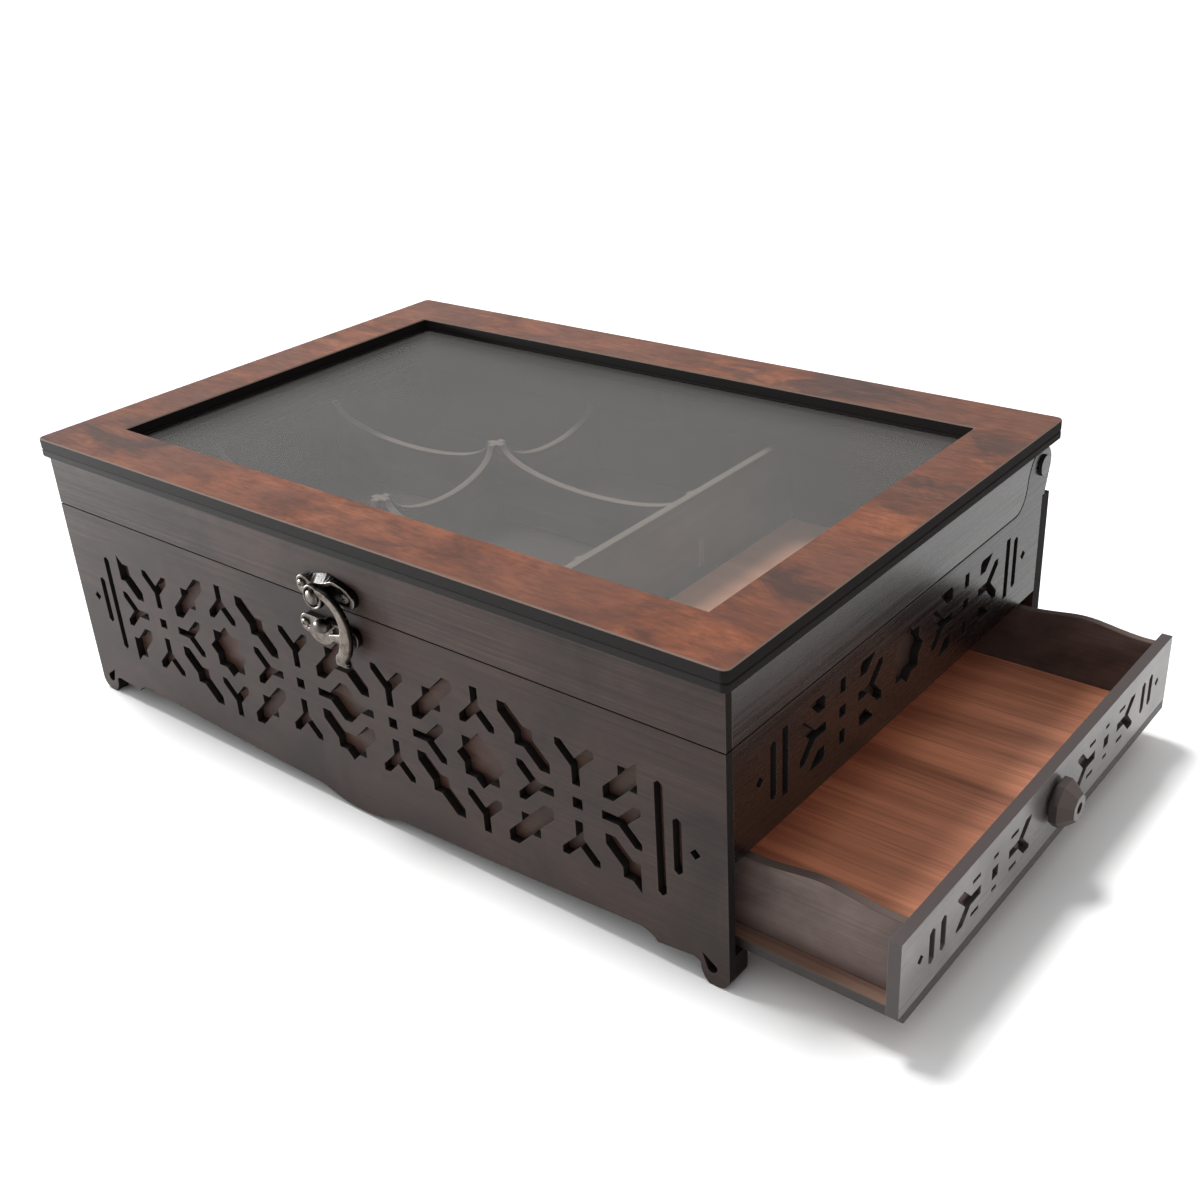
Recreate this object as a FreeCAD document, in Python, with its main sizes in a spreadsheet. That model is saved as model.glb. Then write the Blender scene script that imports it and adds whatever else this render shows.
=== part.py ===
import FreeCAD
import Part
import math
import os

# Tea box of thin board: a tray with fretted walls and nine tea bays, a glazed lid on two
# wooden ear hinges, a swing hook in front and a long drawer that leaves by the right side.
# Frame: X right along the front, Y to the back, Z up, origin on the table under the middle.
# Lengths are in millimetres. The drawer rests part way out, drawn by its pull.

SIZES = {
    # whole box
    "lid_length": 330.0,
    "lid_deep": 219.0,
    "total_tall": 115.0,
    "overhang": 2.2,
    "board": 3.2,
    "lid_tall": 28.5,
    "seam_gap": 0.4,
    "slide_gap": 0.3,
    "joint_gap": 0.1,
    "cut_over": 5.0,
    # lid
    "top_thick": 4.5,
    "rail_wide": 23.5,
    "stile_wide": 25.2,
    "corner_round": 2.5,
    "pane_thick": 2.0,
    "pane_lap": 4.0,
    "closing_board_gap": 11.7,
    "closing_board_lift": 1.9,
    "rail_lift": 1.5,
    # ear hinge
    "pivot_inset": 8.3,
    "pivot_rise": 13.1,
    "ear_round": 7.2,
    "rail_round": 6.4,
    "peg_round": 4.0,
    "peg_proud": 1.2,
    "ear_width": 21.7,
    "ear_cut_gap": 0.5,
    "lip_rise": 11.7,
    # feet and skirt
    "skirt_rise": 10.1,
    "foot_round": 5.1,
    "foot_flat": 2.4,
    "foot_inner": 10.8,
    "drop_round": 1.9,
    "drop_reach": 6.0,
    "drop_inset": 6.4,
    "drop_level": 6.6,
    # fretwork
    "fret_sink": 0.9,
    "cross_place": 24.07,
    "star_place": 65.3,
    "second_cross_place": 106.5,
    "long_slot_place": 138.5,
    "short_slot_place": 144.9,
    "gem_place": 151.3,
    "slot_wide": 3.2,
    "slot_point": 1.2,
    "long_slot_half": 21.2,
    "short_slot_half": 10.4,
    "gem_half": 2.0,
    "centre_square": 4.0,
    "stem_wide": 3.2,
    "stem_start": 6.8,
    "fork_low": 11.7,
    "fork_high": 16.8,
    "fork_reach": 7.7,
    "fork_end": 22.0,
    "fork_shift": 2.9,
    "star_fork_far": 35.3,
    "bar_near": 10.6,
    "bar_low": 6.7,
    "bar_long": 20.5,
    "bar_step": 4.03,
    "bump_half": 3.9,
    "star_half": 7.7,
    # side walls
    "side_fret_lift": 1.1,
    "side_cross_place": 42.1,
    "side_long_slot": 75.1,
    "side_short_slot": 81.6,
    "side_gem": 88.8,
    "mouth_level": 46.7,
    # tray inside
    "bay_floor_top": 51.0,
    "crest_rise": 0.5,
    "straight_rise": 1.5,
    "crest_wide": 5.0,
    "column_place": 52.4,
    "cross_divider_place": 34.0,
    # runners
    "runner_level": 12.2,
    # drawer
    "drawer_pull": 52.9,
    "front_thick": 4.0,
    "front_low": 16.4,
    "front_tall": 26.9,
    "drawer_side_gap": 0.5,
    "drawer_ledge": 5.4,
    "drawer_wall_top": 42.9,
    "drawer_crest": 2.4,
    "drawer_crest_place": 26.0,
    "drawer_crest_half": 22.0,
    "drawer_end_gap": 2.4,
    "lining_thick": 2.0,
    "front_fret_half": 6.4,
    "front_cross_place": 43.0,
    "front_first_slot": 76.6,
    "front_second_slot": 83.5,
    "front_gem": 90.3,
    "front_gem_half": 1.7,
    "dash_level": 6.1,
    "dash_thick": 1.2,
    "dash_wide": 5.0,
    "short_dash_wide": 3.0,
    "dash_place": 13.0,
    # knob
    "knob_rise": 1.2,
    "knob_round": 8.6,
    "knob_face_round": 4.8,
    "knob_foot_round": 5.6,
    "knob_foot": 1.4,
    "knob_rim": 2.6,
    "knob_taper": 4.4,
    "knob_bore": 1.9,
    "knob_bore_deep": 2.0,
    "knob_screw_round": 1.5,
    "knob_screw_proud": 1.2,
    # hook
    "plate_thick": 2.6,
    "plate_half": 14.5,
    "plate_side": 1.5,
    "plate_rise": 2.6,
    "plate_tall": 10.2,
    "keeper_left": 14.2,
    "keeper_right": 15.0,
    "keeper_drop": 8.9,
    "keeper_half": 3.6,
    "keeper_bulge": 2.9,
    "hook_pivot_side": 1.6,
    "hook_pivot_rise": 5.0,
    "hook_hub": 3.8,
    "hook_eye": 1.5,
    "hook_stand": 0.9,
    "hook_thick": 2.4,
    "hook_ball": 3.1,
    "hook_ball_bevel": 1.5,
    "rivet_head": 3.2,
    "rivet_head_thick": 0.9,
    "catch_side": 0.9,
    "catch_drop": 6.2,
    "catch_round": 2.2,
    "catch_lip": 1.2,
    "catch_stand": 5.0,
    "catch_neck": 1.5,
}

# Skirt of the long walls, right half from the foot to the middle: shares of the half
# length, and of the skirt's rise.
SKIRT_SHARES = (
    ("arc", ((0.934, 0.69), (0.926, 0.77), (0.915, 0.80))),
    ("line", ((0.915, 0.80), (0.835, 0.65))),
    ("arc", ((0.835, 0.65), (0.817, 0.88), (0.786, 1.0))),
    ("arc", ((0.786, 1.0), (0.47, 0.70), (0.14, 0.49))),
    ("arc", ((0.14, 0.49), (0.118, 0.435), (0.10, 0.36))),
    ("arc", ((0.10, 0.36), (0.055, 0.16), (0.0, 0.1))),
)
# Cut between lid wall and ear: shares of the ear's width, and of its height over the seam.
EAR_SHARES = ((0.0, 0.0), (0.23, 0.07), (0.39, 0.27), (0.45, 0.56), (0.54, 0.78), (0.66, 0.93))
# Hook: centre line and half width, as shares of the hook's hub-to-ball drop.
HOOK_SHARES = ((0.074, 0.087, 0.095), (0.281, 0.045, 0.083), (0.463, -0.079, 0.079), (0.574, -0.277, 0.087),
               (0.591, -0.50, 0.099), (0.545, -0.715, 0.099), (0.492, -0.872, 0.091))
TOOTH_SHARES = ((0.56, -0.43), (0.36, -0.50), (0.215, -0.535), (0.22, -0.585), (0.36, -0.60), (0.56, -0.62))
HOOK_BALL_SHARES = (0.471, -0.926)
KEEPER_BULGE_SHARES = ((-0.72, 0.0), (-0.3, 1.0), (0.14, 0.0))
SIDE_FRET_SHARE = 0.303
KNOB_SIDES = 8
TAB_SHARE = 0.667
SCOOP_SHARE = 0.347
PLATE_ARCH_SHARES = ((-1.0, 0.36), (-0.93, 0.62), (-0.75, 0.72), (-0.42, 0.86), (0.0, 1.0))


doc = FreeCAD.newDocument("TeaBox")
sheet = doc.addObject("Spreadsheet::Sheet", "Sizes")
for row, (alias, value) in enumerate(SIZES.items(), start=1):
    sheet.set("A%d" % row, alias)
    sheet.set("B%d" % row, str(value))
    sheet.setAlias("B%d" % row, alias)
doc.recompute()


class Size:
    """A length that knows both its value and its formula over the sheet."""

    def __init__(self, text, value):
        self.text = text
        self.value = value

    def __float__(self):
        return float(self.value)

    def _join(self, sign, other, value, swapped=False):
        mine, theirs = self.text, other.text if isinstance(other, Size) else repr(float(other))
        pair = (theirs, mine) if swapped else (mine, theirs)
        return Size("(%s %s %s)" % (pair[0], sign, pair[1]), value)

    def __add__(self, other):
        return self._join("+", other, self.value + float(other))

    def __radd__(self, other):
        return self._join("+", other, float(other) + self.value, swapped=True)

    def __sub__(self, other):
        return self._join("-", other, self.value - float(other))

    def __rsub__(self, other):
        return self._join("-", other, float(other) - self.value, swapped=True)

    def __mul__(self, other):
        return self._join("*", other, self.value * float(other))

    def __rmul__(self, other):
        return self._join("*", other, float(other) * self.value, swapped=True)

    def __truediv__(self, other):
        return self._join("/", other, self.value / float(other))

    def __neg__(self):
        return Size("(-1 * %s)" % self.text, -self.value)


class Names:
    """The sheet's cells by their names."""

    def __getattr__(self, alias):
        return Size("Sizes.%s" % alias, float(sheet.get(alias)))


n = Names()
ZERO = n.board * 0
nodes = []


def bind(thing, prop, size):
    thing.setExpression(prop, size.text)


def keep(thing, label):
    """Marks an object as one piece of the box and gives it its name."""
    thing.Label = label
    nodes.append(thing)
    return thing


def place(thing, x, y, z):
    bind(thing, "Placement.Base.x", x)
    bind(thing, "Placement.Base.y", y)
    bind(thing, "Placement.Base.z", z)
    return thing


def block(name, x0, x1, y0, y1, z0, z1):
    """Plain board between six planes."""
    box = doc.addObject("Part::Box", name)
    bind(box, "Length", x1 - x0)
    bind(box, "Width", y1 - y0)
    bind(box, "Height", z1 - z0)
    return place(box, x0, y0, z0)


AXES = {
    "x": FreeCAD.Rotation(FreeCAD.Vector(0, 1, 0), 90),
    "y": FreeCAD.Rotation(FreeCAD.Vector(1, 0, 0), -90),
    "z": FreeCAD.Rotation(),
}


def rod(name, axis, radius, length, x, y, z):
    """Round bar that starts at a point and runs along +X, +Y or +Z."""
    bar = doc.addObject("Part::Cylinder", name)
    bind(bar, "Radius", radius)
    bind(bar, "Height", length)
    bar.Placement = FreeCAD.Placement(FreeCAD.Vector(0, 0, 0), AXES[axis])
    return place(bar, x, y, z)


def taper(name, first_radius, last_radius, length, x, y, z):
    """Round bar along +Y whose radius changes evenly."""
    cone = doc.addObject("Part::Cone", name)
    bind(cone, "Radius1", first_radius)
    bind(cone, "Radius2", last_radius)
    bind(cone, "Height", length)
    cone.Placement = FreeCAD.Placement(FreeCAD.Vector(0, 0, 0), AXES["y"])
    return place(cone, x, y, z)


def cut(name, base, tools):
    """Base less one or more tools."""
    tool = tools[0]
    if len(tools) > 1:
        tool = doc.addObject("Part::MultiFuse", name + "_tools")
        tool.Shapes = tools
    body = doc.addObject("Part::Cut", name)
    body.Base = base
    body.Tool = tool
    return body


def fuse(name, parts):
    body = doc.addObject("Part::MultiFuse", name)
    body.Shapes = parts
    body.Refine = True
    return body


def solid(name, shape):
    """Piece whose outline comes from the tables of shares or from the fret pattern."""
    piece = doc.addObject("Part::Feature", name)
    piece.Shape = shape
    return piece


# Planes that the boards stand on.
half_long = n.lid_length / 2 - n.overhang
half_deep = n.lid_deep / 2 - n.overhang
seam_level = n.total_tall - n.lid_tall
body_top = seam_level - n.seam_gap / 2
rim_low = seam_level + n.seam_gap / 2
plate_under = n.total_tall - n.top_thick - n.board
frame_under = n.total_tall - n.top_thick
wall_long = half_long - n.board
wall_deep = half_deep - n.board
inner_long = wall_long - n.board
inner_deep = wall_deep - n.board
side_front = -wall_deep
side_back = inner_deep
side_middle = (side_front + side_back) / 2
bay_floor_low = n.bay_floor_top - n.board
past_end = half_long + n.cut_over
row_place = n.cross_divider_place
ROWS = (("back", row_place), ("front", -row_place))
crest_level = seam_level + n.crest_rise
straight_level = seam_level + n.straight_rise
fret_level = (n.skirt_rise + body_top) / 2 - n.fret_sink
side_fret_level = (n.mouth_level + body_top) / 2 + n.side_fret_lift
pivot_back = half_deep - n.pivot_inset
pivot_level = seam_level + n.pivot_rise
hook_level = seam_level + n.hook_pivot_rise
keeper_level = seam_level - n.keeper_drop
catch_level = seam_level - n.catch_drop


def to_front(across, up, depth):
    """Point of a wall that faces the front: across is X."""
    return FreeCAD.Vector(float(across), float(depth), float(up))


def to_side(across, up, depth):
    """Point of a wall that faces a side: across is Y."""
    return FreeCAD.Vector(float(depth), float(across), float(up))


def loop_edges(runs, turn, depth):
    """Edges of an outline. A run is a kind, line, arc, arcs in a row or curve, and its points."""
    edges = []
    for kind, points in runs:
        spots = [turn(a, u, depth) for a, u in points]
        if kind == "line":
            for first, second in zip(spots, spots[1:]):
                if first.distanceToPoint(second) > float(n.joint_gap) / 10:
                    edges.append(Part.LineSegment(first, second).toShape())
        elif kind == "arc":
            edges.append(Part.Arc(*spots).toShape())
        elif kind == "arcs":
            edges += [Part.Arc(*spots[k:k + 3]).toShape() for k in range(0, len(spots) - 2, 2)]
        else:
            curve = Part.BSplineCurve()
            curve.interpolate(spots)
            edges += [piece.toShape() for piece in curve.toBiArcs(float(n.joint_gap))]
    return edges


def slab(runs, turn, depth, thick):
    """Board of a given outline, from one depth to the next."""
    wire = Part.Wire(Part.__sortEdges__(loop_edges(runs, turn, depth)))
    start, end = turn(0, 0, depth), turn(0, 0, depth + thick)
    return Part.Face(wire).extrude(end - start)


def polygon(points):
    return [("line", list(points) + [points[0]])]


# Fret pattern. Every hole is a list of (across, up) pairs about the pattern's middle.


def fork(out_start, out_low, out_high, out_end):
    """Forked hole: a stem along the second axis that splits into two arms."""
    w, r = float(n.stem_wide) / 2, float(n.fork_reach)
    tip = out_end - out_high
    right = [(w, out_start), (w, out_low + w), (r, out_low + r), (r, out_end), (tip, out_end)]
    return right + [(0.0, out_high)] + [(-a, u) for a, u in reversed(right)]


def upright_fork():
    return fork(float(n.stem_start), float(n.fork_low), float(n.fork_high), float(n.fork_end))


def side_fork(face):
    shift = float(n.fork_shift)
    points = [(u + shift, a) for a, u in upright_fork()]
    return [(a * face, u) for a, u in points]


def star_fork():
    far = float(n.star_fork_far)
    return [(a, far - u) for a, u in upright_fork()]


def slant_bar():
    """Diagonal bar with a square bump at its middle, up and to the right of a cross."""
    half, step, bump = float(n.bar_long) / 2, float(n.bar_step), float(n.bump_half)
    low = [(-half, -half), (step - half, -half), (step - bump, -bump), (bump, -bump),
           (bump, bump - step), (half, half - step)]
    points = low + [(-a, -u) for a, u in low]
    mid_a, mid_u = float(n.bar_near) + half, float(n.bar_low) + half
    return [(a + mid_a, u + mid_u) for a, u in points]


def star():
    """Eight points: a square and the same square turned by an eighth."""
    tip = float(n.star_half) * math.sqrt(2)
    inner = float(n.star_half) * math.sqrt(2) / math.cos(math.pi / 8) * math.sin(math.pi / 4)
    points = []
    for step in range(16):
        radius = tip if step % 2 == 0 else inner
        angle = math.pi * step / 8
        points.append((radius * math.cos(angle), radius * math.sin(angle)))
    return points


def rectangle(a, u, wide, tall):
    return [(a - wide / 2, u - tall / 2), (a + wide / 2, u - tall / 2),
            (a + wide / 2, u + tall / 2), (a - wide / 2, u + tall / 2)]


def gem(a, half):
    return [(a - half, 0.0), (a, -half), (a + half, 0.0), (a, half)]


def pointed_slot(a, half):
    w, point = float(n.slot_wide) / 2, float(n.slot_point)
    return [(a - w, point - half), (a, -half), (a + w, point - half), (a + w, half - point),
            (a, half), (a - w, half - point)]


def clip(points, axis, limit, keep_below):
    """Part of a hole on one side of a line across or up."""
    sign = 1.0 if keep_below else -1.0
    gap = [sign * (limit - p[axis]) for p in points]
    kept = []
    for here in range(len(points)):
        after = (here + 1) % len(points)
        if gap[here] >= 0:
            kept.append(points[here])
        if gap[here] * gap[after] < 0:
            share = gap[here] / (gap[here] - gap[after])
            kept.append(tuple(p + share * (q - p) for p, q in zip(points[here], points[after])))
    return kept


def moved(points, a, face=1.0, upside=1.0):
    return [(a + p[0] * face, p[1] * upside) for p in points]


def cross_holes(middle, inner_edge, outer_edge, with_inner_fork, with_bars=True):
    """Holes round one cross, clipped at its inner and outer edge."""
    square = float(n.centre_square)
    holes = [rectangle(middle, 0.0, square, square), moved(side_fork(1.0), middle)]
    if with_inner_fork:
        holes.append(moved(side_fork(-1.0), middle))
    for upside in (1.0, -1.0):
        holes.append(moved(upright_fork(), middle, 1.0, upside))
        if with_bars:
            holes.append(clip(moved(slant_bar(), middle, 1.0, upside), 0, outer_edge, True))
            holes.append(clip(moved(slant_bar(), middle, -1.0, upside), 0, inner_edge, False))
    return holes


def star_holes(middle):
    return [moved(star(), middle), moved(star_fork(), middle), moved(star_fork(), middle, 1.0, -1.0)]


def middle_hole():
    """Six-sided hole in the middle of the long walls, with a stem on both sides."""
    cross, w, r = float(n.cross_place), float(n.stem_wide) / 2, float(n.fork_reach)
    start = cross - float(n.stem_start) - float(n.fork_shift)
    knee = cross - float(n.fork_low) - float(n.fork_shift) - w
    corner = cross - float(n.fork_low) - float(n.fork_shift) - r
    top = [(start, w), (knee, w), (corner, r), (-corner, r), (-knee, w), (-start, w)]
    return top + [(a, -u) for a, u in reversed(top)]


def long_wall_holes(with_bars):
    """Pattern of the front and back, right half mirrored to the left."""
    edge = float(n.second_cross_place) + float(n.cross_place)
    right = cross_holes(float(n.cross_place), 0.0, edge, False, with_bars)
    right += star_holes(float(n.star_place))
    right += cross_holes(float(n.second_cross_place), 0.0, edge, True, with_bars)
    right += [pointed_slot(float(n.long_slot_place), float(n.long_slot_half)),
              pointed_slot(float(n.short_slot_place), float(n.short_slot_half)),
              gem(float(n.gem_place), float(n.gem_half))]
    return [middle_hole()] + right + [moved(hole, 0.0, -1.0) for hole in right]


def side_wall_holes():
    """The same pattern with its star in the middle, for the two short walls."""
    cross = float(n.side_cross_place)
    edge = cross + float(n.cross_place)
    right = cross_holes(cross, 0.0, edge, True)
    right += [pointed_slot(float(n.side_long_slot), float(n.long_slot_half)),
              pointed_slot(float(n.side_short_slot), float(n.short_slot_half)),
              gem(float(n.side_gem), float(n.gem_half))]
    return star_holes(0.0) + right + [moved(hole, 0.0, -1.0) for hole in right]


def low_side_holes():
    """The short wall's pattern with its top and bottom clipped to the band over the drawer."""
    half = float(body_top - n.mouth_level) * SIDE_FRET_SHARE
    holes = []
    for hole in side_wall_holes():
        hole = clip(clip(hole, 1, half, True), 1, -half, False)
        if len(hole) > 2:
            holes.append(hole)
    return holes


def drawer_holes():
    """Drawer front: square, forks, dashes, two slots and a gem on each side of the knob."""
    half, cross = float(n.front_fret_half), float(n.front_cross_place)
    right = [moved(side_fork(1.0), cross), moved(side_fork(-1.0), cross)]
    right = [clip(clip(hole, 1, half, True), 1, -half, False) for hole in right]
    square = float(n.centre_square)
    right.append(rectangle(cross, 0.0, square, square))
    for up in (float(n.dash_level), -float(n.dash_level)):
        right.append(rectangle(cross, up, float(n.short_dash_wide), float(n.dash_thick)))
        for side in (float(n.dash_place), -float(n.dash_place)):
            right.append(rectangle(cross + side, up, float(n.dash_wide), float(n.dash_thick)))
    right.append(pointed_slot(float(n.front_first_slot), half))
    right.append(pointed_slot(float(n.front_second_slot), half))
    right.append(gem(float(n.front_gem), float(n.front_gem_half)))
    return right + [moved(hole, 0.0, -1.0) for hole in right]


def fret_tool(name, holes, turn, depth, thick, middle, level):
    """Prisms of all holes, through a wall and a little past both its faces."""
    over = float(n.cut_over)
    prisms = []
    for hole in holes:
        points = [(a + float(middle), u + float(level)) for a, u in hole]
        prisms.append(slab(polygon(points), turn, float(depth) - over, float(thick) + 2 * over))
    merged = prisms[0].multiFuse(prisms[1:]).removeSplitter()
    return solid(name, merged)


# Skirt and feet.


def skirt_runs(half, top):
    """Outline of a long wall: straight top and sides, feet, and the curved skirt."""
    h, rise = float(half), float(n.skirt_rise)
    foot, flat, inner = float(n.foot_round), float(n.foot_flat), float(n.foot_inner)
    toe = h - foot
    turned = foot * (1 - math.cos(math.pi / 4))
    right = [("line", [(0.0, float(top)), (h, float(top)), (h, foot)]),
             ("arc", [(h, foot), (h - turned, turned), (toe, 0.0)]),
             ("line", [(toe, 0.0), (toe - flat, 0.0)])]
    skirt = [(kind, [(h * a, rise * u) for a, u in points]) for kind, points in SKIRT_SHARES]
    first = skirt[0][1][0]
    right.append(("arc", [(toe - flat, 0.0), (h - inner + foot / 4, first[1] / 3), first]))
    right += skirt
    left = [(kind, [(-a, u) for a, u in points]) for kind, points in right]
    return right + left


def foot_drop(across, face):
    """Drop-shaped hole in a foot: a round end and a point that leans up and inward."""
    r, reach = float(n.drop_round), float(n.drop_reach)
    level = float(n.drop_level)
    lean = math.radians(52)
    spread = math.acos(r / reach)
    tip = (across - face * reach * math.cos(lean), level + reach * math.sin(lean))
    ends = []
    for side in (1.0, -1.0):
        angle = lean + side * spread
        ends.append((across - face * r * math.cos(angle), level + r * math.sin(angle)))
    far = (across + face * r * math.cos(lean), level - r * math.sin(lean))
    return [("line", [ends[0], tip, ends[1]]), ("arc", [ends[1], far, ends[0]])]


def long_wall(name, depth, thick, half, top):
    return solid(name, slab(skirt_runs(half, top), to_front, depth, thick))


def drops(name, depth):
    over = float(n.cut_over)
    place_in = float(half_long) - float(n.drop_inset)
    pair = [slab(foot_drop(place_in * face, face), to_front, float(depth) - over,
                 float(n.board) + 2 * over) for face in (1.0, -1.0)]
    return solid(name, pair[0].fuse(pair[1]))


for name, depth, with_bars in (("front_panel", -half_deep, True), ("back_panel", wall_deep, False)):
    wall = long_wall(name + "_board", float(depth), float(n.board), half_long, body_top)
    holes = fret_tool(name + "_fret", long_wall_holes(with_bars), to_front, depth, n.board, ZERO, fret_level)
    keep(cut(name, wall, [holes, drops(name + "_drops", depth)]), name)

# Liners stand right behind the fretwork. At the drawer's side the front one stops a board
# short of the wall's end over the runner, and at the closed side the short wall takes its end.
liner = long_wall("front_liner_board", float(-wall_deep), float(n.board), half_long, body_top)
seats = [block("front_liner_seat_" + side, x0, x1, -wall_deep - n.cut_over, -inner_deep + n.cut_over,
               low, n.total_tall)
         for side, x0, x1, low in (("right", wall_long, past_end, n.runner_level),
                                   ("left", -past_end, -wall_long, -n.cut_over))]
keep(cut("front_liner", liner, seats), "front_liner")
lip_half = inner_long - n.slide_gap * 2
lip_top = body_top + n.lip_rise
tall_liner = long_wall("back_liner_board", float(inner_deep), float(n.board), half_long, lip_top)
shoulders = [block("back_liner_shoulder_" + side, x0, x1, inner_deep - n.cut_over,
                   wall_deep + n.cut_over, body_top, n.total_tall)
             for side, x0, x1 in (("right", lip_half, past_end), ("left", -past_end, -lip_half))]
keep(cut("back_liner", tall_liner, shoulders), "back_liner")

# Short walls with their ears.


def ear_line(offset):
    """Cut between the ear and the lid's side wall, from the seam up."""
    y0 = float(pivot_back) - float(n.ear_width)
    z0 = float(body_top)
    tall = float(pivot_level) + float(n.ear_round) - z0
    return [(y0 + share[0] * float(n.ear_width) - offset, z0 + share[1] * tall) for share in EAR_SHARES]


def ear_wall_runs(low_runs):
    """Outline of a short wall: straight seam edge, ear with its round head, and the low edge."""
    py, pz, r = float(pivot_back), float(pivot_level), float(n.ear_round)
    line = ear_line(0.0)
    head_start = (py + r * math.cos(math.radians(118)), pz + r * math.sin(math.radians(118)))
    head_mid = (py + r * math.cos(math.radians(40)), pz + r * math.sin(math.radians(40)))
    head_end = (py + r * math.cos(math.radians(-20)), pz + r * math.sin(math.radians(-20)))
    neck = (float(side_back) + float(n.board) / 2, float(body_top) + float(n.seam_gap))
    return [("line", [(float(side_front), float(body_top)), line[0]]), ("curve", line),
            ("line", [line[-1], head_start]), ("arc", [head_start, head_mid, head_end]),
            ("line", [head_end, neck, (float(side_back), neck[1])])] + low_runs


def side_low_runs(level):
    return [("line", [(float(side_back), float(body_top) + float(n.seam_gap)),
                      (float(side_back), float(level)), (float(side_front), float(level)),
                      (float(side_front), float(body_top))])]


def left_low_runs():
    """Low edge of the closed short wall: two feet and a skirt between them."""
    mid, half = float(side_middle), float(side_back - side_middle)
    foot, flat, rise = float(n.foot_round), float(n.foot_flat), float(n.skirt_rise)
    turned = foot * (1 - math.cos(math.pi / 4))
    up = rise * SKIRT_SHARES[0][1][0][1]
    across = half - float(n.foot_inner)
    right = [("arc", [(half, foot), (half - turned, turned), (half - foot, 0.0)]),
             ("line", [(half - foot, 0.0), (half - foot - flat, 0.0)]),
             ("arc", [(half - foot - flat, 0.0), (across + foot / 4, up / 3), (across, up)]),
             ("arc", [(across, up), (across - foot * 0.8, rise - up / 8), (across - 2 * foot, rise)]),
             ("line", [(across - 2 * foot, rise), (0.0, rise)])]
    runs = [("line", [(float(side_back), float(body_top) + float(n.seam_gap)), (mid + half, foot)])]
    runs += [(kind, [(mid + a, u) for a, u in points]) for kind, points in right]
    runs += [(kind, [(mid - a, u) for a, u in points]) for kind, points in right]
    runs += [("line", [(mid - half, foot), (float(side_front), float(body_top))])]
    return runs


for name, depth, low_runs in (("right_panel", wall_long, side_low_runs(n.mouth_level)),
                              ("left_panel", -half_long, left_low_runs())):
    wall = solid(name + "_board", slab(ear_wall_runs(low_runs), to_side, float(depth), float(n.board)))
    fret = fret_tool(name + "_fret", low_side_holes(), to_side, depth, n.board, side_middle,
                     side_fret_level)
    eye = rod(name + "_eye", "x", n.peg_round + n.joint_gap, n.board + n.cut_over * 2,
              depth - n.cut_over, pivot_back, pivot_level)
    keep(cut(name, wall, [fret, eye]), name)

keep(block("right_liner", inner_long, wall_long, -inner_deep, inner_deep, n.mouth_level, body_top),
     "right_liner")
keep(block("left_liner", -wall_long, -inner_long, -inner_deep, inner_deep, n.skirt_rise, body_top),
     "left_liner")

# Floor of the tea bays, and the dividers that half-lap where they cross.
keep(block("bay_floor", -inner_long, inner_long, -inner_deep, inner_deep, bay_floor_low,
           n.bay_floor_top), "bay_floor")

lap_level = (n.bay_floor_top + crest_level) / 2
lap_half = n.board / 2 + n.joint_gap
tab_tall = (lap_level - n.bay_floor_top) * TAB_SHARE
tab_low = lap_level - tab_tall


def scoop(name, axis, half_span, x, y):
    """Long round hollow between two crests of a divider."""
    ring = doc.addObject("Part::Ellipse", name + "_ring")
    bind(ring, "MajorRadius", half_span)
    bind(ring, "MinorRadius", (crest_level - n.bay_floor_top) * SCOOP_SHARE)
    turn = FreeCAD.Rotation(FreeCAD.Vector(1, 0, 0), 90)
    if axis == "y":
        turn = FreeCAD.Rotation(FreeCAD.Vector(0, 0, 1), 90).multiply(turn)
    ring.Placement = FreeCAD.Placement(FreeCAD.Vector(0, 0, 0), turn)
    place(ring, x, y, crest_level)
    hollow = doc.addObject("Part::Extrusion", name)
    hollow.Base = ring
    hollow.DirMode = "Custom"
    hollow.Dir = FreeCAD.Vector(0, 1, 0) if axis == "x" else FreeCAD.Vector(1, 0, 0)
    hollow.Symmetric = True
    bind(hollow, "LengthFwd", n.board + n.cut_over * 2)
    hollow.Solid = True
    return hollow


row_half = row_place - n.board / 2
outer_row = (inner_deep - row_place - n.board / 2) / 2
outer_row_middle = row_place + n.board / 2 + outer_row
board_long = block("scooped_divider_board", -n.column_place - n.board / 2, -n.column_place + n.board / 2,
                   -inner_deep, inner_deep, n.bay_floor_top, crest_level)
hollows = [scoop("long_scoop_0", "y", row_half - n.crest_wide / 2, -n.column_place, ZERO),
           scoop("long_scoop_1", "y", outer_row - n.crest_wide / 2, -n.column_place, outer_row_middle),
           scoop("long_scoop_2", "y", outer_row - n.crest_wide / 2, -n.column_place, -outer_row_middle)]
laps = [block("long_lap_" + row, -n.column_place - n.board, -n.column_place + n.board,
              y - lap_half, y + lap_half, lap_level, n.total_tall)
        for row, y in ROWS]
keep(cut("scooped_divider", board_long, hollows + laps), "scooped_divider")

board_straight = block("straight_divider_board", n.column_place - n.board / 2,
                       n.column_place + n.board / 2, -inner_deep, inner_deep,
                       n.bay_floor_top, straight_level)
mortises = [block("mortise_" + row, n.column_place - n.board, n.column_place + n.board,
                  y - lap_half, y + lap_half, tab_low - n.joint_gap, tab_low + tab_tall + n.joint_gap)
            for row, y in ROWS]
keep(cut("straight_divider", board_straight, mortises), "straight_divider")

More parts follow.
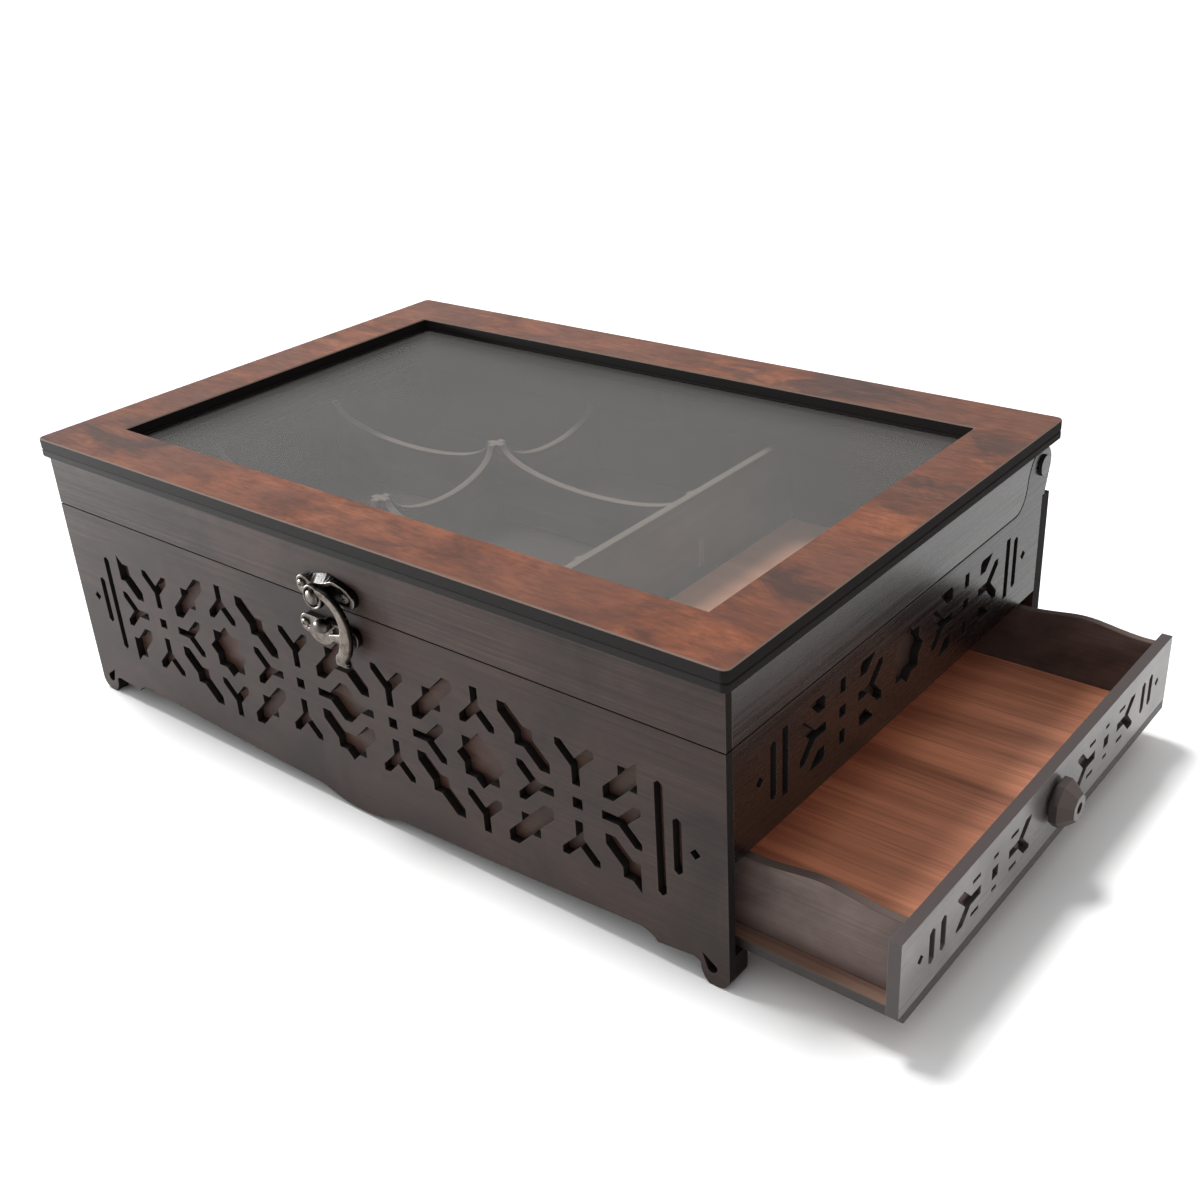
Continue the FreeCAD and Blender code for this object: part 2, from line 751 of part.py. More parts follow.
straight_face = n.column_place - n.board / 2
left_cell = (inner_long - n.column_place - n.board / 2) / 2
left_cell_middle = -n.column_place - n.board / 2 - left_cell
middle_cell = n.column_place - n.board / 2
for row, y in ROWS:
    name = "cross_divider_" + row
    plank = block(name + "_board", -inner_long, straight_face, y - n.board / 2, y + n.board / 2,
                  n.bay_floor_top, crest_level)
    tab = block(name + "_tab", straight_face - n.cut_over, n.column_place + n.board / 2,
                y - n.board / 2, y + n.board / 2, tab_low, tab_low + tab_tall)
    whole = fuse(name + "_whole", [plank, tab])
    tools = [scoop(name + "_scoop_0", "x", left_cell - n.crest_wide / 2, left_cell_middle, y),
             scoop(name + "_scoop_1", "x", middle_cell - n.crest_wide / 2, ZERO, y),
             block(name + "_lap", -n.column_place - lap_half, -n.column_place + lap_half,
                   y - n.board, y + n.board, ZERO, lap_level)]
    keep(cut(name, whole, tools), name)

# Drawer runners: a third board in each foot, under the edge of the drawer's board.
for name, y0 in (("runner_front", -inner_deep), ("runner_back", inner_deep - n.board)):
    strip = solid(name + "_strip", slab(skirt_runs(half_long, n.runner_level), to_front, float(y0),
                                        float(n.board)))
    stop = block(name + "_stop", -past_end, -inner_long, y0 - n.cut_over,
                 y0 + n.board + n.cut_over, -n.cut_over, n.total_tall)
    keep(cut(name, strip, [stop]), name)

# Lid: veneered frame, frame under it with the pane's seat, pane, and hanging walls.


def ring_frame(name, low, high, rail, stile):
    """Flat frame with rounded outer corners."""
    hx, hy = n.lid_length / 2, n.lid_deep / 2
    plate = block(name + "_plate", -hx, hx, -hy, hy, low, high)
    hole = block(name + "_hole", -hx + stile, hx - stile, -hy + rail, hy - rail,
                 low - n.cut_over, high + n.cut_over)
    doc.recompute()
    rounds = doc.addObject("Part::Fillet", name + "_rounds")
    rounds.Base = plate
    upright = [k + 1 for k, edge in enumerate(plate.Shape.Edges)
               if abs(edge.Vertexes[0].Z - edge.Vertexes[-1].Z) > float(n.board) / 2]
    rounds.Edges = [(k, float(n.corner_round), float(n.corner_round)) for k in upright]
    return cut(name, rounds, [hole])


keep(ring_frame("lid_top_frame", frame_under, n.total_tall, n.stile_wide, n.rail_wide), "lid_top_frame")
under = ring_frame("lid_under_ring", plate_under, frame_under, n.stile_wide, n.rail_wide)
pane_long = n.lid_length / 2 - n.rail_wide + n.pane_lap
pane_deep = n.lid_deep / 2 - n.stile_wide + n.pane_lap
seat = block("pane_seat", -pane_long - n.joint_gap, pane_long + n.joint_gap, -pane_deep - n.joint_gap,
             pane_deep + n.joint_gap, plate_under - n.cut_over, plate_under + n.pane_thick)
keep(cut("lid_under_frame", under, [seat]), "lid_under_frame")
keep(block("lid_pane", -pane_long, pane_long, -pane_deep, pane_deep, plate_under,
           plate_under + n.pane_thick), "lid_pane")

keep(block("lid_wall_front", -half_long, half_long, -half_deep, -wall_deep, rim_low, plate_under),
     "lid_wall_front")


def lid_side_runs():
    line = ear_line(float(n.ear_cut_gap))
    lift = float(rim_low) - float(body_top)
    line = [(y, z + lift) for y, z in line]
    top = (line[-1][0] + float(n.seam_gap), float(plate_under))
    return [("line", [(float(side_front), float(plate_under)), (float(side_front), float(rim_low)), line[0]]),
            ("curve", line), ("line", [line[-1], top, (float(side_front), float(plate_under))])]


for name, depth in (("lid_wall_right", wall_long), ("lid_wall_left", -half_long)):
    keep(solid(name, slab(lid_side_runs(), to_side, float(depth), float(n.board))), name)

closing_low = body_top + n.closing_board_lift + (straight_level - body_top) / 2
closing_back = inner_deep - n.closing_board_gap
keep(block("lid_wall_back", -inner_long, inner_long, closing_back - n.board, closing_back,
           closing_low, plate_under), "lid_wall_back")


def hinge_rail_runs():
    """Rail inside a lid wall: straight, with a round end about the pivot."""
    py, pz, r = float(pivot_back), float(pivot_level), float(n.rail_round)
    low = float(rim_low) + float(n.rail_lift)
    top = float(plate_under)
    drop = pz - low
    start = py - 2 * drop
    turn_in = (py, pz - r)
    return [("line", [(float(side_front), top), (float(side_front), low), (start, low)]),
            ("line", [(start, low), (py - drop, pz - r), turn_in]),
            ("arc", [turn_in, (py + r, pz), (py, pz + r)]),
            ("line", [(py, pz + r), (py, top), (float(side_front), top)])]


for name, depth, peg_start in (("hinge_rail_right", inner_long, inner_long),
                               ("hinge_rail_left", -wall_long, -half_long - n.peg_proud)):
    rail = solid(name + "_board", slab(hinge_rail_runs(), to_side, float(depth), float(n.board)))
    bore = rod(name + "_bore", "x", n.peg_round, n.board + n.cut_over * 2, depth - n.cut_over,
               pivot_back, pivot_level)
    keep(cut(name, rail, [bore]), name)
    side = name.split("_")[-1]
    keep(rod("hinge_peg_" + side, "x", n.peg_round, n.board * 2 + n.peg_proud, peg_start,
             pivot_back, pivot_level), "hinge_peg_" + side)

# Swing hook: plate on the lid, keeper with its catch on the wall, arm with a ball end.
face = -half_deep


def plate_runs():
    """Plate with two round lobes under a flat arch."""
    half, low, tall = float(n.plate_half), float(seam_level + n.plate_rise), float(n.plate_tall)
    mid = float(n.plate_side)
    bend = tall * PLATE_ARCH_SHARES[0][1]
    turned = bend * (1 - math.cos(math.pi / 4))
    arch = [(mid + half * a, low + tall * u) for a, u in PLATE_ARCH_SHARES]
    arch += [(2 * mid - a, u) for a, u in reversed(arch[:-1])]
    right, left = mid + half, mid - half
    return [("arc", [(right, low + bend), (right - turned, low + turned), (right - bend, low)]),
            ("line", [(right - bend, low), (left + bend, low)]),
            ("arc", [(left + bend, low), (left + turned, low + turned), (left, low + bend)]), ("arcs", arch)]


keep(solid("hook_plate", slab(plate_runs(), to_front, float(face - n.plate_thick), float(n.plate_thick))),
     "hook_plate")


def keeper_runs():
    """Long plate with round ends and a bulge under its left half."""
    left, right = -float(n.keeper_left), float(n.keeper_right)
    level, half = float(keeper_level), float(n.keeper_half)
    top, low = level + half, level - half
    bulge = [(-left * a, low - float(n.keeper_bulge) * u) for a, u in KEEPER_BULGE_SHARES]
    return [("line", [(left + half, top), (right - half, top)]),
            ("arc", [(right - half, top), (right, level), (right - half, low)]),
            ("line", [(right - half, low), bulge[-1]]), ("arc", bulge[::-1]),
            ("line", [bulge[0], (left + half, low)]),
            ("arc", [(left + half, low), (left, level), (left + half, top)])]


keeper_plate = solid("keeper_plate", slab(keeper_runs(), to_front, float(face - n.plate_thick),
                                          float(n.plate_thick)))
neck = rod("catch_neck", "y", n.catch_neck, n.catch_stand, -n.catch_side, face - n.catch_stand,
           catch_level)
knob = rod("catch_head", "y", n.catch_round, n.catch_lip, -n.catch_side, face - n.catch_stand,
           catch_level)
keep(fuse("hook_keeper", [keeper_plate, neck, knob]), "hook_keeper")

arm_front = face - n.plate_thick - n.hook_stand - n.hook_thick
drop = hook_level - keeper_level + n.keeper_half * 2 + n.hook_ball


def hook_arm_runs():
    """Curved arm: both edges run beside a centre line that swings out and back."""
    px, pz, size = -float(n.hook_pivot_side), float(hook_level), float(drop)
    path = [(px + size * a, pz + size * u, size * w) for a, u, w in HOOK_SHARES]
    left, right = [], []
    for k, (a, u, w) in enumerate(path):
        before, after = path[max(k - 1, 0)], path[min(k + 1, len(path) - 1)]
        run = (after[0] - before[0], after[1] - before[1])
        length = math.hypot(*run)
        left.append((a - run[1] / length * w, u + run[0] / length * w))
        right.append((a + run[1] / length * w, u - run[0] / length * w))
    return [("arcs", left), ("line", [left[-1], right[-1]]), ("arcs", right[::-1]),
            ("line", [right[0], left[0]])]


def hook_spot(shares):
    return (shares[0] * drop - n.hook_pivot_side, hook_level + shares[1] * drop)


arm_bow = solid("hook_bow", slab(hook_arm_runs(), to_front, float(arm_front), float(n.hook_thick)))
tooth_spots = [tuple(float(v) for v in hook_spot(share)) for share in TOOTH_SHARES]
tooth = solid("hook_tooth", slab(polygon(tooth_spots), to_front, float(arm_front), float(n.hook_thick)))
hub_back = face - n.plate_thick - n.joint_gap
hub = rod("hook_hub", "y", n.hook_hub, hub_back - arm_front, -n.hook_pivot_side, arm_front,
          hook_level)
ball_x, ball_z = hook_spot(HOOK_BALL_SHARES)
ball_mid = arm_front + n.hook_thick / 2
ball_flat = n.hook_thick / 4
ball_end = n.hook_ball - n.hook_ball_bevel
ball = [rod("hook_ball_middle", "y", n.hook_ball, ball_flat * 2, ball_x, ball_mid - ball_flat, ball_z),
        taper("hook_ball_front", ball_end, n.hook_ball, n.hook_ball_bevel, ball_x,
              ball_mid - ball_flat - n.hook_ball_bevel, ball_z),
        taper("hook_ball_back", n.hook_ball, ball_end, n.hook_ball_bevel, ball_x,
              ball_mid + ball_flat, ball_z)]
eye = rod("hook_eye_bore", "y", n.hook_eye + n.joint_gap, n.cut_over * 3, -n.hook_pivot_side,
          arm_front - n.cut_over, hook_level)
keep(cut("hook_arm", fuse("hook_arm_whole", [arm_bow, tooth, hub] + ball), [eye]), "hook_arm")
pin = rod("rivet_pin", "y", n.hook_eye, face - arm_front + n.joint_gap - n.plate_thick,
          -n.hook_pivot_side, arm_front - n.joint_gap, hook_level)
head = rod("rivet_head", "y", n.rivet_head, n.rivet_head_thick, -n.hook_pivot_side,
           arm_front - n.joint_gap - n.rivet_head_thick, hook_level)
keep(fuse("hook_rivet", [pin, head]), "hook_rivet")

# Drawer, drawn out by its pull.
front_back_face = wall_long + n.slide_gap + n.drawer_pull
front_face = front_back_face + n.front_thick
front_y0 = side_front + n.slide_gap
front_y1 = side_back - n.slide_gap
front_top = n.front_low + n.front_tall
front_level = n.front_low + n.front_tall / 2
drawer_end = -inner_long + n.drawer_end_gap + n.drawer_pull

front_board = block("drawer_front_board", front_back_face, front_face, front_y0, front_y1,
                    n.front_low, front_top)
front_fret = fret_tool("drawer_front_fret", drawer_holes(), to_side, front_back_face, n.front_thick,
                       side_middle, front_level)
knob_level = front_level + n.knob_rise
screw_way = rod("drawer_front_bore", "x", n.knob_screw_round + n.joint_gap, n.front_thick + n.cut_over * 2,
                front_back_face - n.cut_over, side_middle, knob_level)
keep(cut("drawer_front", front_board, [front_fret, screw_way]), "drawer_front")

board_low = n.runner_level + n.slide_gap
board_half = inner_deep - n.drawer_side_gap
wall_half = board_half - n.drawer_ledge
keep(block("drawer_board", drawer_end, front_face, -board_half, board_half,
           board_low, n.front_low), "drawer_board")


def drawer_wall_runs():
    """Side of the drawer: low top edge with one soft crest behind the front."""
    x0, x1 = float(drawer_end), float(front_back_face)
    low, top = float(n.front_low), float(n.drawer_wall_top)
    middle, half, crest = (x1 - float(n.drawer_crest_place), float(n.drawer_crest_half),
                           float(n.drawer_crest))
    swell = [(middle + half, top), (middle + half / 2, top + crest / 2), (middle, top + crest),
             (middle - half / 2, top + crest / 2), (middle - half, top)]
    return [("line", [(x0, top), (x0, low), (x1, low), (x1, top), swell[0]]), ("curve", swell),
            ("line", [swell[-1], (x0, top)])]


for name, y0 in (("drawer_wall_front", -wall_half), ("drawer_wall_back", wall_half - n.board)):
    keep(solid(name, slab(drawer_wall_runs(), to_front, float(y0), float(n.board))), name)
wall_inside = wall_half - n.board
keep(block("drawer_end_wall", drawer_end, drawer_end + n.board, -wall_inside, wall_inside,
           n.front_low, n.drawer_wall_top), "drawer_end_wall")
keep(block("drawer_lining", drawer_end + n.board, front_back_face, -wall_inside, wall_inside,
           n.front_low, n.front_low + n.lining_thick), "drawer_lining")

# Knob: round foot, eight-sided rim that tapers to a small face with the screw's hole.
knob_foot_end = front_face + n.knob_foot
knob_rim_end = knob_foot_end + n.knob_rim
knob_end = knob_rim_end + n.knob_taper
foot = rod("knob_foot", "x", n.knob_foot_round, n.knob_foot, front_face, side_middle, knob_level)


knob_prism = doc.addObject("Part::Prism", "knob_prism")
knob_prism.Polygon = KNOB_SIDES
bind(knob_prism, "Circumradius", n.knob_round)
bind(knob_prism, "Height", n.knob_rim + n.knob_taper)
half_side = FreeCAD.Rotation(FreeCAD.Vector(1, 0, 0), 180 / KNOB_SIDES)
knob_prism.Placement = FreeCAD.Placement(FreeCAD.Vector(0, 0, 0), half_side.multiply(AXES["x"]))
place(knob_prism, knob_foot_end, side_middle, knob_level)
doc.recompute()
knob_body = doc.addObject("Part::Chamfer", "knob_body")
knob_body.Base = knob_prism
rim_edges = [k + 1 for k, edge in enumerate(knob_prism.Shape.Edges)
             if min(v.X for v in edge.Vertexes) > float(knob_end) - float(n.joint_gap)]
inset = float(n.knob_round - n.knob_face_round) * math.cos(math.pi / KNOB_SIDES)
knob_body.Edges = [(k, float(n.knob_taper), inset) for k in rim_edges]
knob_whole = fuse("knob_whole", [foot, knob_body])
knob_bore = rod("knob_bore", "x", n.knob_bore, n.knob_bore_deep + n.cut_over, knob_end - n.knob_bore_deep,
                side_middle, knob_level)
knob_way = rod("knob_way", "x", n.knob_screw_round + n.joint_gap, n.cut_over * 3, front_face - n.cut_over,
               side_middle, knob_level)
keep(cut("drawer_knob", knob_whole, [knob_bore, knob_way]), "drawer_knob")
shank_start = front_back_face - n.knob_screw_proud
keep(rod("knob_screw", "x", n.knob_screw_round, knob_end - n.knob_bore_deep - shank_start, shank_start,
         side_middle, knob_level), "knob_screw")

doc.recompute()

for thing in doc.Objects:
    if "Invalid" in thing.State or "Error" in thing.State:
        raise RuntimeError("object failed: %s %s" % (thing.Name, thing.State))
for piece in nodes:
    shape = piece.Shape
    if shape.isNull() or not shape.isValid() or shape.Volume <= 0:
        raise RuntimeError("bad shape: %s" % piece.Label)
    if len(shape.Solids) != 1:
        raise RuntimeError("%s has %d solids" % (piece.Label, len(shape.Solids)))

os.makedirs("parts", exist_ok=True)
for piece in nodes:
    piece.Shape.exportStep("parts/%s.step" % piece.Label)
print("pieces", len(nodes))
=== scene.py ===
import logging
import math
from dataclasses import dataclass
from enum import Enum
from functools import partial
from typing import Any, Optional, Sequence, Union

import bmesh
import bpy
from mathutils import Matrix, Vector


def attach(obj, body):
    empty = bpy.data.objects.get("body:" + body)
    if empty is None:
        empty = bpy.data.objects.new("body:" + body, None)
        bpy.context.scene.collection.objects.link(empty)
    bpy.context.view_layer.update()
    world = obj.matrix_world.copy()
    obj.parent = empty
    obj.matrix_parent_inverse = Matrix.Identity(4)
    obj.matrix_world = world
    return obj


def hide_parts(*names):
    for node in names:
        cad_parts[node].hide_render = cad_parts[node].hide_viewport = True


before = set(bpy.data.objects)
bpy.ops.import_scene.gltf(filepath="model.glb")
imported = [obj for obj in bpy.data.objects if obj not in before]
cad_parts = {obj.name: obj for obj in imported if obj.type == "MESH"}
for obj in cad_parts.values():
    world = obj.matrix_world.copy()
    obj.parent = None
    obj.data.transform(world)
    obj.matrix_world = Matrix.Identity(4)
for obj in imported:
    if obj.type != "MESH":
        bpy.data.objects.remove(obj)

log = logging.getLogger("tea_box")

MM = 0.001
Colour = tuple[float, float, float]
Triple = tuple[float, float, float]
Span = tuple[float, float]
Value = Union[float, Sequence[float], bpy.types.NodeSocket]
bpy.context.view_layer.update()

WELD = 0.002 * MM
FLAT_ANGLE = math.radians(0.3)
SHARP_ANGLE = math.radians(34.0)
FLAT_FACE: Span = (0.93, 0.97)
BURNT_EDGE: Colour = (0.0085, 0.0068, 0.0064)
SAWN: Colour = (0.88, 0.88, 0.88)
POLISHED_GRAIN = 0.007 * MM


class Axis(Enum):
    """Direction in the box's own frame."""

    X = 0
    Y = 1
    Z = 2

    def vector(self, along: float, across: float) -> Triple:
        """Three numbers: one for this direction and another for the two across it."""
        return tuple(along if k == self.value else across for k in range(3))


class Wood(Enum):
    """Darkest and lightest colour of a board's grain."""

    LONG_WALL = ((0.012, 0.0066, 0.0052), (0.050, 0.028, 0.0215))
    # Same stain as LONG_WALL, made near black as painted shade of the box's sides.
    SHADED_SHORT_WALL = ((0.002, 0.0010, 0.0009), (0.008, 0.0038, 0.0030))
    LID_LONG_WALL = ((0.014, 0.0084, 0.0068), (0.058, 0.034, 0.027))
    # Same stain as LID_LONG_WALL, made near black as painted shade of the lid's sides.
    LID_SHADED_SHORT_WALL = ((0.003, 0.0017, 0.0014), (0.012, 0.0064, 0.0052))
    LINER = ((0.026, 0.013, 0.009), (0.078, 0.040, 0.029))
    DIVIDER = ((0.060, 0.044, 0.038), (0.150, 0.112, 0.095))
    BAY_FLOOR = ((0.800, 0.340, 0.185), (0.990, 0.530, 0.335))
    # The drawer front is the same stained walnut as the walls; its pale grey colour is painted sheen.
    SHEENED_DRAWER_FRONT = ((0.088, 0.077, 0.075), (0.172, 0.156, 0.151))
    DRAWER_WALL = ((0.084, 0.060, 0.053), (0.140, 0.101, 0.090))
    DRAWER_BASE = ((0.080, 0.040, 0.028), (0.210, 0.120, 0.086))
    DRAWER_LINING = ((0.190, 0.066, 0.036), (0.760, 0.300, 0.165))
    KNOB = ((0.022, 0.016, 0.015), (0.060, 0.046, 0.043))


class Slot(Enum):
    """Material slot of a piece."""

    BOARD = "stained_board"
    VENEER = "burl_veneer"
    BRASS = "aged_brass"


# Node trees


def feed(tree: bpy.types.NodeTree, socket: bpy.types.NodeSocket, value: Value) -> None:
    """Links a socket to another, or sets its plain value."""
    if isinstance(value, bpy.types.NodeSocket):
        tree.links.new(value, socket)
    elif socket.type == "RGBA" and len(value) == 3:
        socket.default_value = (*value, 1.0)
    else:
        socket.default_value = value


def add_node(tree: bpy.types.NodeTree, kind: str, inputs: Optional[dict[Any, Value]] = None,
             **settings: Any) -> bpy.types.Node:
    """Makes a node, sets its options and fills its sockets.

    Args:
        tree: The tree that takes the node.
        kind: Blender's name of the node type.
        inputs: Values or other nodes' sockets, by socket name or number.
        settings: Options of the node.

    Returns:
        The new node.
    """
    node = tree.nodes.new(kind)
    for option, value in settings.items():
        setattr(node, option, value)
    for socket, value in (inputs or {}).items():
        feed(tree, node.inputs[socket], value)
    return node


# Materials


class Graph:
    """A material's node tree, with short calls for the nodes that the finishes share."""

    def __init__(self, name: str) -> None:
        """Starts a material that holds one shader.

        Args:
            name: The material's name.
        """
        self.material = bpy.data.materials.new(name)
        self.material.use_nodes = True
        self.tree = self.material.node_tree
        self.shader = self.tree.nodes["Principled BSDF"]
        self.place = self.add("ShaderNodeTexCoord")

    def add(self, kind: str, inputs: Optional[dict[Any, Value]] = None, **settings: Any) -> bpy.types.Node:
        """Makes a node of this material, as add_node does."""
        return add_node(self.tree, kind, inputs, **settings)

    def noise(self, stretch: Sequence[float], detail: float = 3.0, rough: float = 0.6, warp: float = 0.0,
              shift: Sequence[float] = (0.0, 0.0, 0.0)) -> bpy.types.NodeSocket:
        """Cloudy pattern in the piece's own space.

        Args:
            stretch: Waves for each metre along X, Y and Z.
            detail: Number of finer layers.
            rough: Weight of the finer layers.
            warp: How far the pattern bends on itself.
            shift: Offset that gives pieces different patterns.

        Returns:
            A value from 0 to 1.
        """
        spot = self.add("ShaderNodeMapping", {"Vector": self.place.outputs["Object"], "Scale": stretch,
                                              "Location": shift})
        node = self.add("ShaderNodeTexNoise", {"Vector": spot.outputs[0], "Scale": 1.0, "Detail": detail,
                                               "Roughness": rough, "Distortion": warp})
        return node.outputs["Fac"]

    def ramp(self, value: Value, stops: Sequence[tuple[float, Colour]]) -> bpy.types.NodeSocket:
        """Turns a value into a colour through a list of places and colours."""
        node = self.add("ShaderNodeValToRGB", {"Fac": value})
        elements = node.color_ramp.elements
        while len(elements) < len(stops):
            elements.new(0.5)
        for element, (spot, colour) in zip(elements, stops):
            element.position = spot
            element.color = (*colour, 1.0)
        return node.outputs["Color"]

    def mix(self, share: Value, first: Value, second: Value, blend: str = "MIX") -> bpy.types.NodeSocket:
        """Blend of two colours."""
        node = self.add("ShaderNodeMix", {0: share, 6: first, 7: second}, data_type="RGBA", blend_type=blend)
        return node.outputs[2]

    def combine(self, rule: str, first: Value, second: Value) -> bpy.types.NodeSocket:
        """Two values joined by one of Blender's rules, such as ADD or MULTIPLY."""
        return self.add("ShaderNodeMath", {0: first, 1: second}, operation=rule).outputs[0]

    def spread(self, value: Value, low: float, high: float, start: float = 0.3,
               end: float = 0.7) -> bpy.types.NodeSocket:
        """Stretches the part of a value between start and end to the range low to high."""
        node = self.add("ShaderNodeMapRange", {0: value, 1: start, 2: end, 3: low, 4: high})
        return node.outputs[0]

    def part(self, kind: str, axis: Axis) -> bpy.types.NodeSocket:
        """One number of the piece's own Object place or Normal."""
        return self.add("ShaderNodeSeparateXYZ", {0: self.place.outputs[kind]}).outputs[axis.value]

    def facing(self, axis: Axis, start: float, end: float) -> bpy.types.NodeSocket:
        """1 where the surface faces an axis, 0 where it runs along it."""
        size = self.add("ShaderNodeMath", {0: self.part("Normal", axis)}, operation="ABSOLUTE")
        return self.spread(size.outputs[0], 0.0, 1.0, start, end)

    def toward(self, axis: Axis, start: float, end: float) -> bpy.types.NodeSocket:
        """Rises from 0 to 1 as the surface's normal along an axis goes from start to end."""
        return self.spread(self.part("Normal", axis), 0.0, 1.0, start, end)

    def patch(self, middle: Span, reach: Span) -> bpy.types.NodeSocket:
        """1 in the middle of an oval seen from above, falling to 0 at its rim.

        Args:
            middle: Place of the oval's middle along X and Y.
            reach: Half of its length along X and Y.

        Returns:
            A value from 0 to 1.
        """
        scale = (1.0 / reach[0], 1.0 / reach[1], 0.0)
        shift = (-middle[0] / reach[0], -middle[1] / reach[1], 0.0)
        spot = self.add("ShaderNodeMapping", {"Vector": self.place.outputs["Object"], "Scale": scale,
                                              "Location": shift})
        far = self.add("ShaderNodeVectorMath", {0: spot.outputs[0]}, operation="LENGTH")
        return self.spread(far.outputs["Value"], 1.0, 0.0, 0.0, 1.0)

    def relief(self, height: Value, depth: float) -> None:
        """Gives the surface fine bumps of a depth in metres."""
        node = self.add("ShaderNodeBump", {"Height": height, "Distance": depth, "Strength": 1.0})
        feed(self.tree, self.shader.inputs["Normal"], node.outputs[0])

    def finish(self, **sockets: Value) -> bpy.types.Material:
        """Fills the shader's sockets.

        Args:
            sockets: Values by socket name, with underscores for spaces.

        Returns:
            The finished material.
        """
        for name, value in sockets.items():
            feed(self.tree, self.shader.inputs[name.replace("_", " ")], value)
        return self.material


@dataclass(frozen=True)
class StainedBoard:
    """Thin board with a dark walnut stain, fine grain lines and cut edges burnt near black.

    Waves are for each metre, first along the grain and then across it.
    """

    name: str
    faces: Axis = Axis.Y
    grain: Axis = Axis.X
    wood: Wood = Wood.LONG_WALL
    cut: Colour = (0.007, 0.0048, 0.0042)
    arris: Colour = (0.070, 0.046, 0.038)
    rough: float = 0.42
    gloss: float = 0.2
    bump: float = 0.05 * MM
    seed: float = 0.0
    line_waves: Span = (9.0, 950.0)
    pore_waves: Span = (60.0, 2600.0)
    cloud_waves: Triple = (21.0, 21.0, 26.0)
    line_stops: Span = (0.18, 0.85)
    cloud_shade: Span = (0.50, 1.45)
    pore_share: float = 0.35

    def build(self) -> bpy.types.Material:
        """Makes the material."""
        g = Graph(self.name)
        shift = (self.seed, self.seed * 1.7, self.seed * 0.6)
        lines = g.noise(self.grain.vector(*self.line_waves), detail=4.0, rough=0.7, shift=shift)
        pores = g.noise(self.grain.vector(*self.pore_waves), detail=2.0, rough=0.5, shift=shift)
        clouds = g.noise(self.cloud_waves, detail=4.0, rough=0.62, warp=0.6, shift=shift)
        grain = g.ramp(lines, tuple(zip(self.line_stops, self.wood.value)))
        stain = g.spread(clouds, *self.cloud_shade)
        shade = g.add("ShaderNodeCombineColor", {0: stain, 1: stain, 2: stain}).outputs[0]
        face = g.mix(1.0, grain, shade, "MULTIPLY")
        face = g.mix(g.spread(pores, self.pore_share, 0.0, start=0.30, end=0.42), face, self.wood.value[0])
        # The arris colour is lighter: partly edge wear, partly painted highlight.
        edge = g.mix(g.facing(self.faces, 0.45, 0.5), self.cut, self.arris)
        flat = g.facing(self.faces, *FLAT_FACE)
        g.relief(g.mix(0.4, lines, pores), self.bump)
        rough = g.mix(flat, SAWN, g.spread(lines, self.rough - 0.05, self.rough + 0.1))
        return g.finish(Base_Color=g.mix(flat, edge, face), Roughness=rough, Specular_IOR_Level=self.gloss)


@dataclass(frozen=True)
class BurlVeneer:
    """Polished veneer with soft terracotta clouds, a fine grain and a few dark worn patches.

    Waves are for each metre along X, Y and Z. A patch is an oval's middle and its half lengths.
    """

    name: str = "burl_veneer"
    wood: tuple[tuple[float, Colour], ...] = (
        (0.35, (0.062, 0.020, 0.011)), (0.46, (0.115, 0.035, 0.016)), (0.55, (0.170, 0.053, 0.023)),
        (0.67, (0.232, 0.083, 0.040)))
    veil: Colour = (0.104, 0.043, 0.029)
    fleck: Colour = (0.065, 0.027, 0.018)
    worn: Colour = (0.036, 0.021, 0.018)
    arris: Colour = (0.150, 0.105, 0.085)
    gloss: float = 0.15
    bump: float = 0.04 * MM
    figure_waves: Triple = (38.0, 78.0, 30.0)
    cloud_waves: Triple = (11.0, 17.0, 11.0)
    fleck_waves: Triple = (120.0, 620.0, 120.0)
    mark_waves: Triple = (30.0, 60.0, 30.0)
    patches: tuple[tuple[Span, Span], ...] = (
        ((0.148, 0.026), (0.040, 0.026)), ((0.155, 0.072), (0.035, 0.022)), ((0.075, 0.100), (0.060, 0.022)),
        ((-0.150, -0.088), (0.070, 0.030)), ((0.150, -0.060), (0.040, 0.020)))

    def build(self) -> bpy.types.Material:
        """Makes the material."""
        g = Graph(self.name)
        figure = g.noise(self.figure_waves, detail=8.0, rough=0.70, warp=0.5)
        clouds = g.noise(self.cloud_waves, detail=3.0, rough=0.55, warp=0.3, shift=(1.3, 4.4, 0.0))
        flecks = g.noise(self.fleck_waves, detail=4.0, rough=0.65, warp=0.2, shift=(3.0, 1.0, 0.0))
        marks = g.noise(self.mark_waves, detail=6.0, rough=0.68, warp=0.9, shift=(7.3, 2.1, 0.0))
        wood = g.ramp(figure, self.wood)
        wood = g.mix(g.spread(clouds, 0.0, 0.75, start=0.40, end=0.62), wood, self.veil)
        wood = g.mix(g.spread(flecks, 0.0, 0.6, start=0.46, end=0.70), wood, self.fleck)
        wood = g.mix(self.wear(g, marks), wood, self.worn)
        # The arris colour is lighter: partly edge wear, partly painted highlight.
        edge = g.mix(g.toward(Axis.Z, 0.3, 0.5), BURNT_EDGE, self.arris)
        top = g.toward(Axis.Z, *FLAT_FACE)
        g.relief(figure, self.bump)
        rough = g.mix(top, SAWN, g.spread(flecks, 0.33, 0.44))
        return g.finish(Base_Color=g.mix(top, edge, wood), Roughness=rough, Specular_IOR_Level=self.gloss)

    def wear(self, g: Graph, marks: bpy.types.NodeSocket) -> bpy.types.NodeSocket:
        """Share of wear: scattered marks, and more of them inside the patches.

        Args:
            g: The material's node tree.
            marks: The noise that draws the marks.

        Returns:
            A value from 0 to 1.
        """
        worn = g.spread(marks, 0.0, 0.35, start=0.60, end=0.72)
        for middle, reach in self.patches:
            spot = g.combine("ADD", g.patch(middle, reach), g.spread(marks, -0.5, 0.9))
            worn = g.combine("MAXIMUM", worn, g.spread(spot, 0.0, 0.8, start=0.55, end=1.1))
        return worn


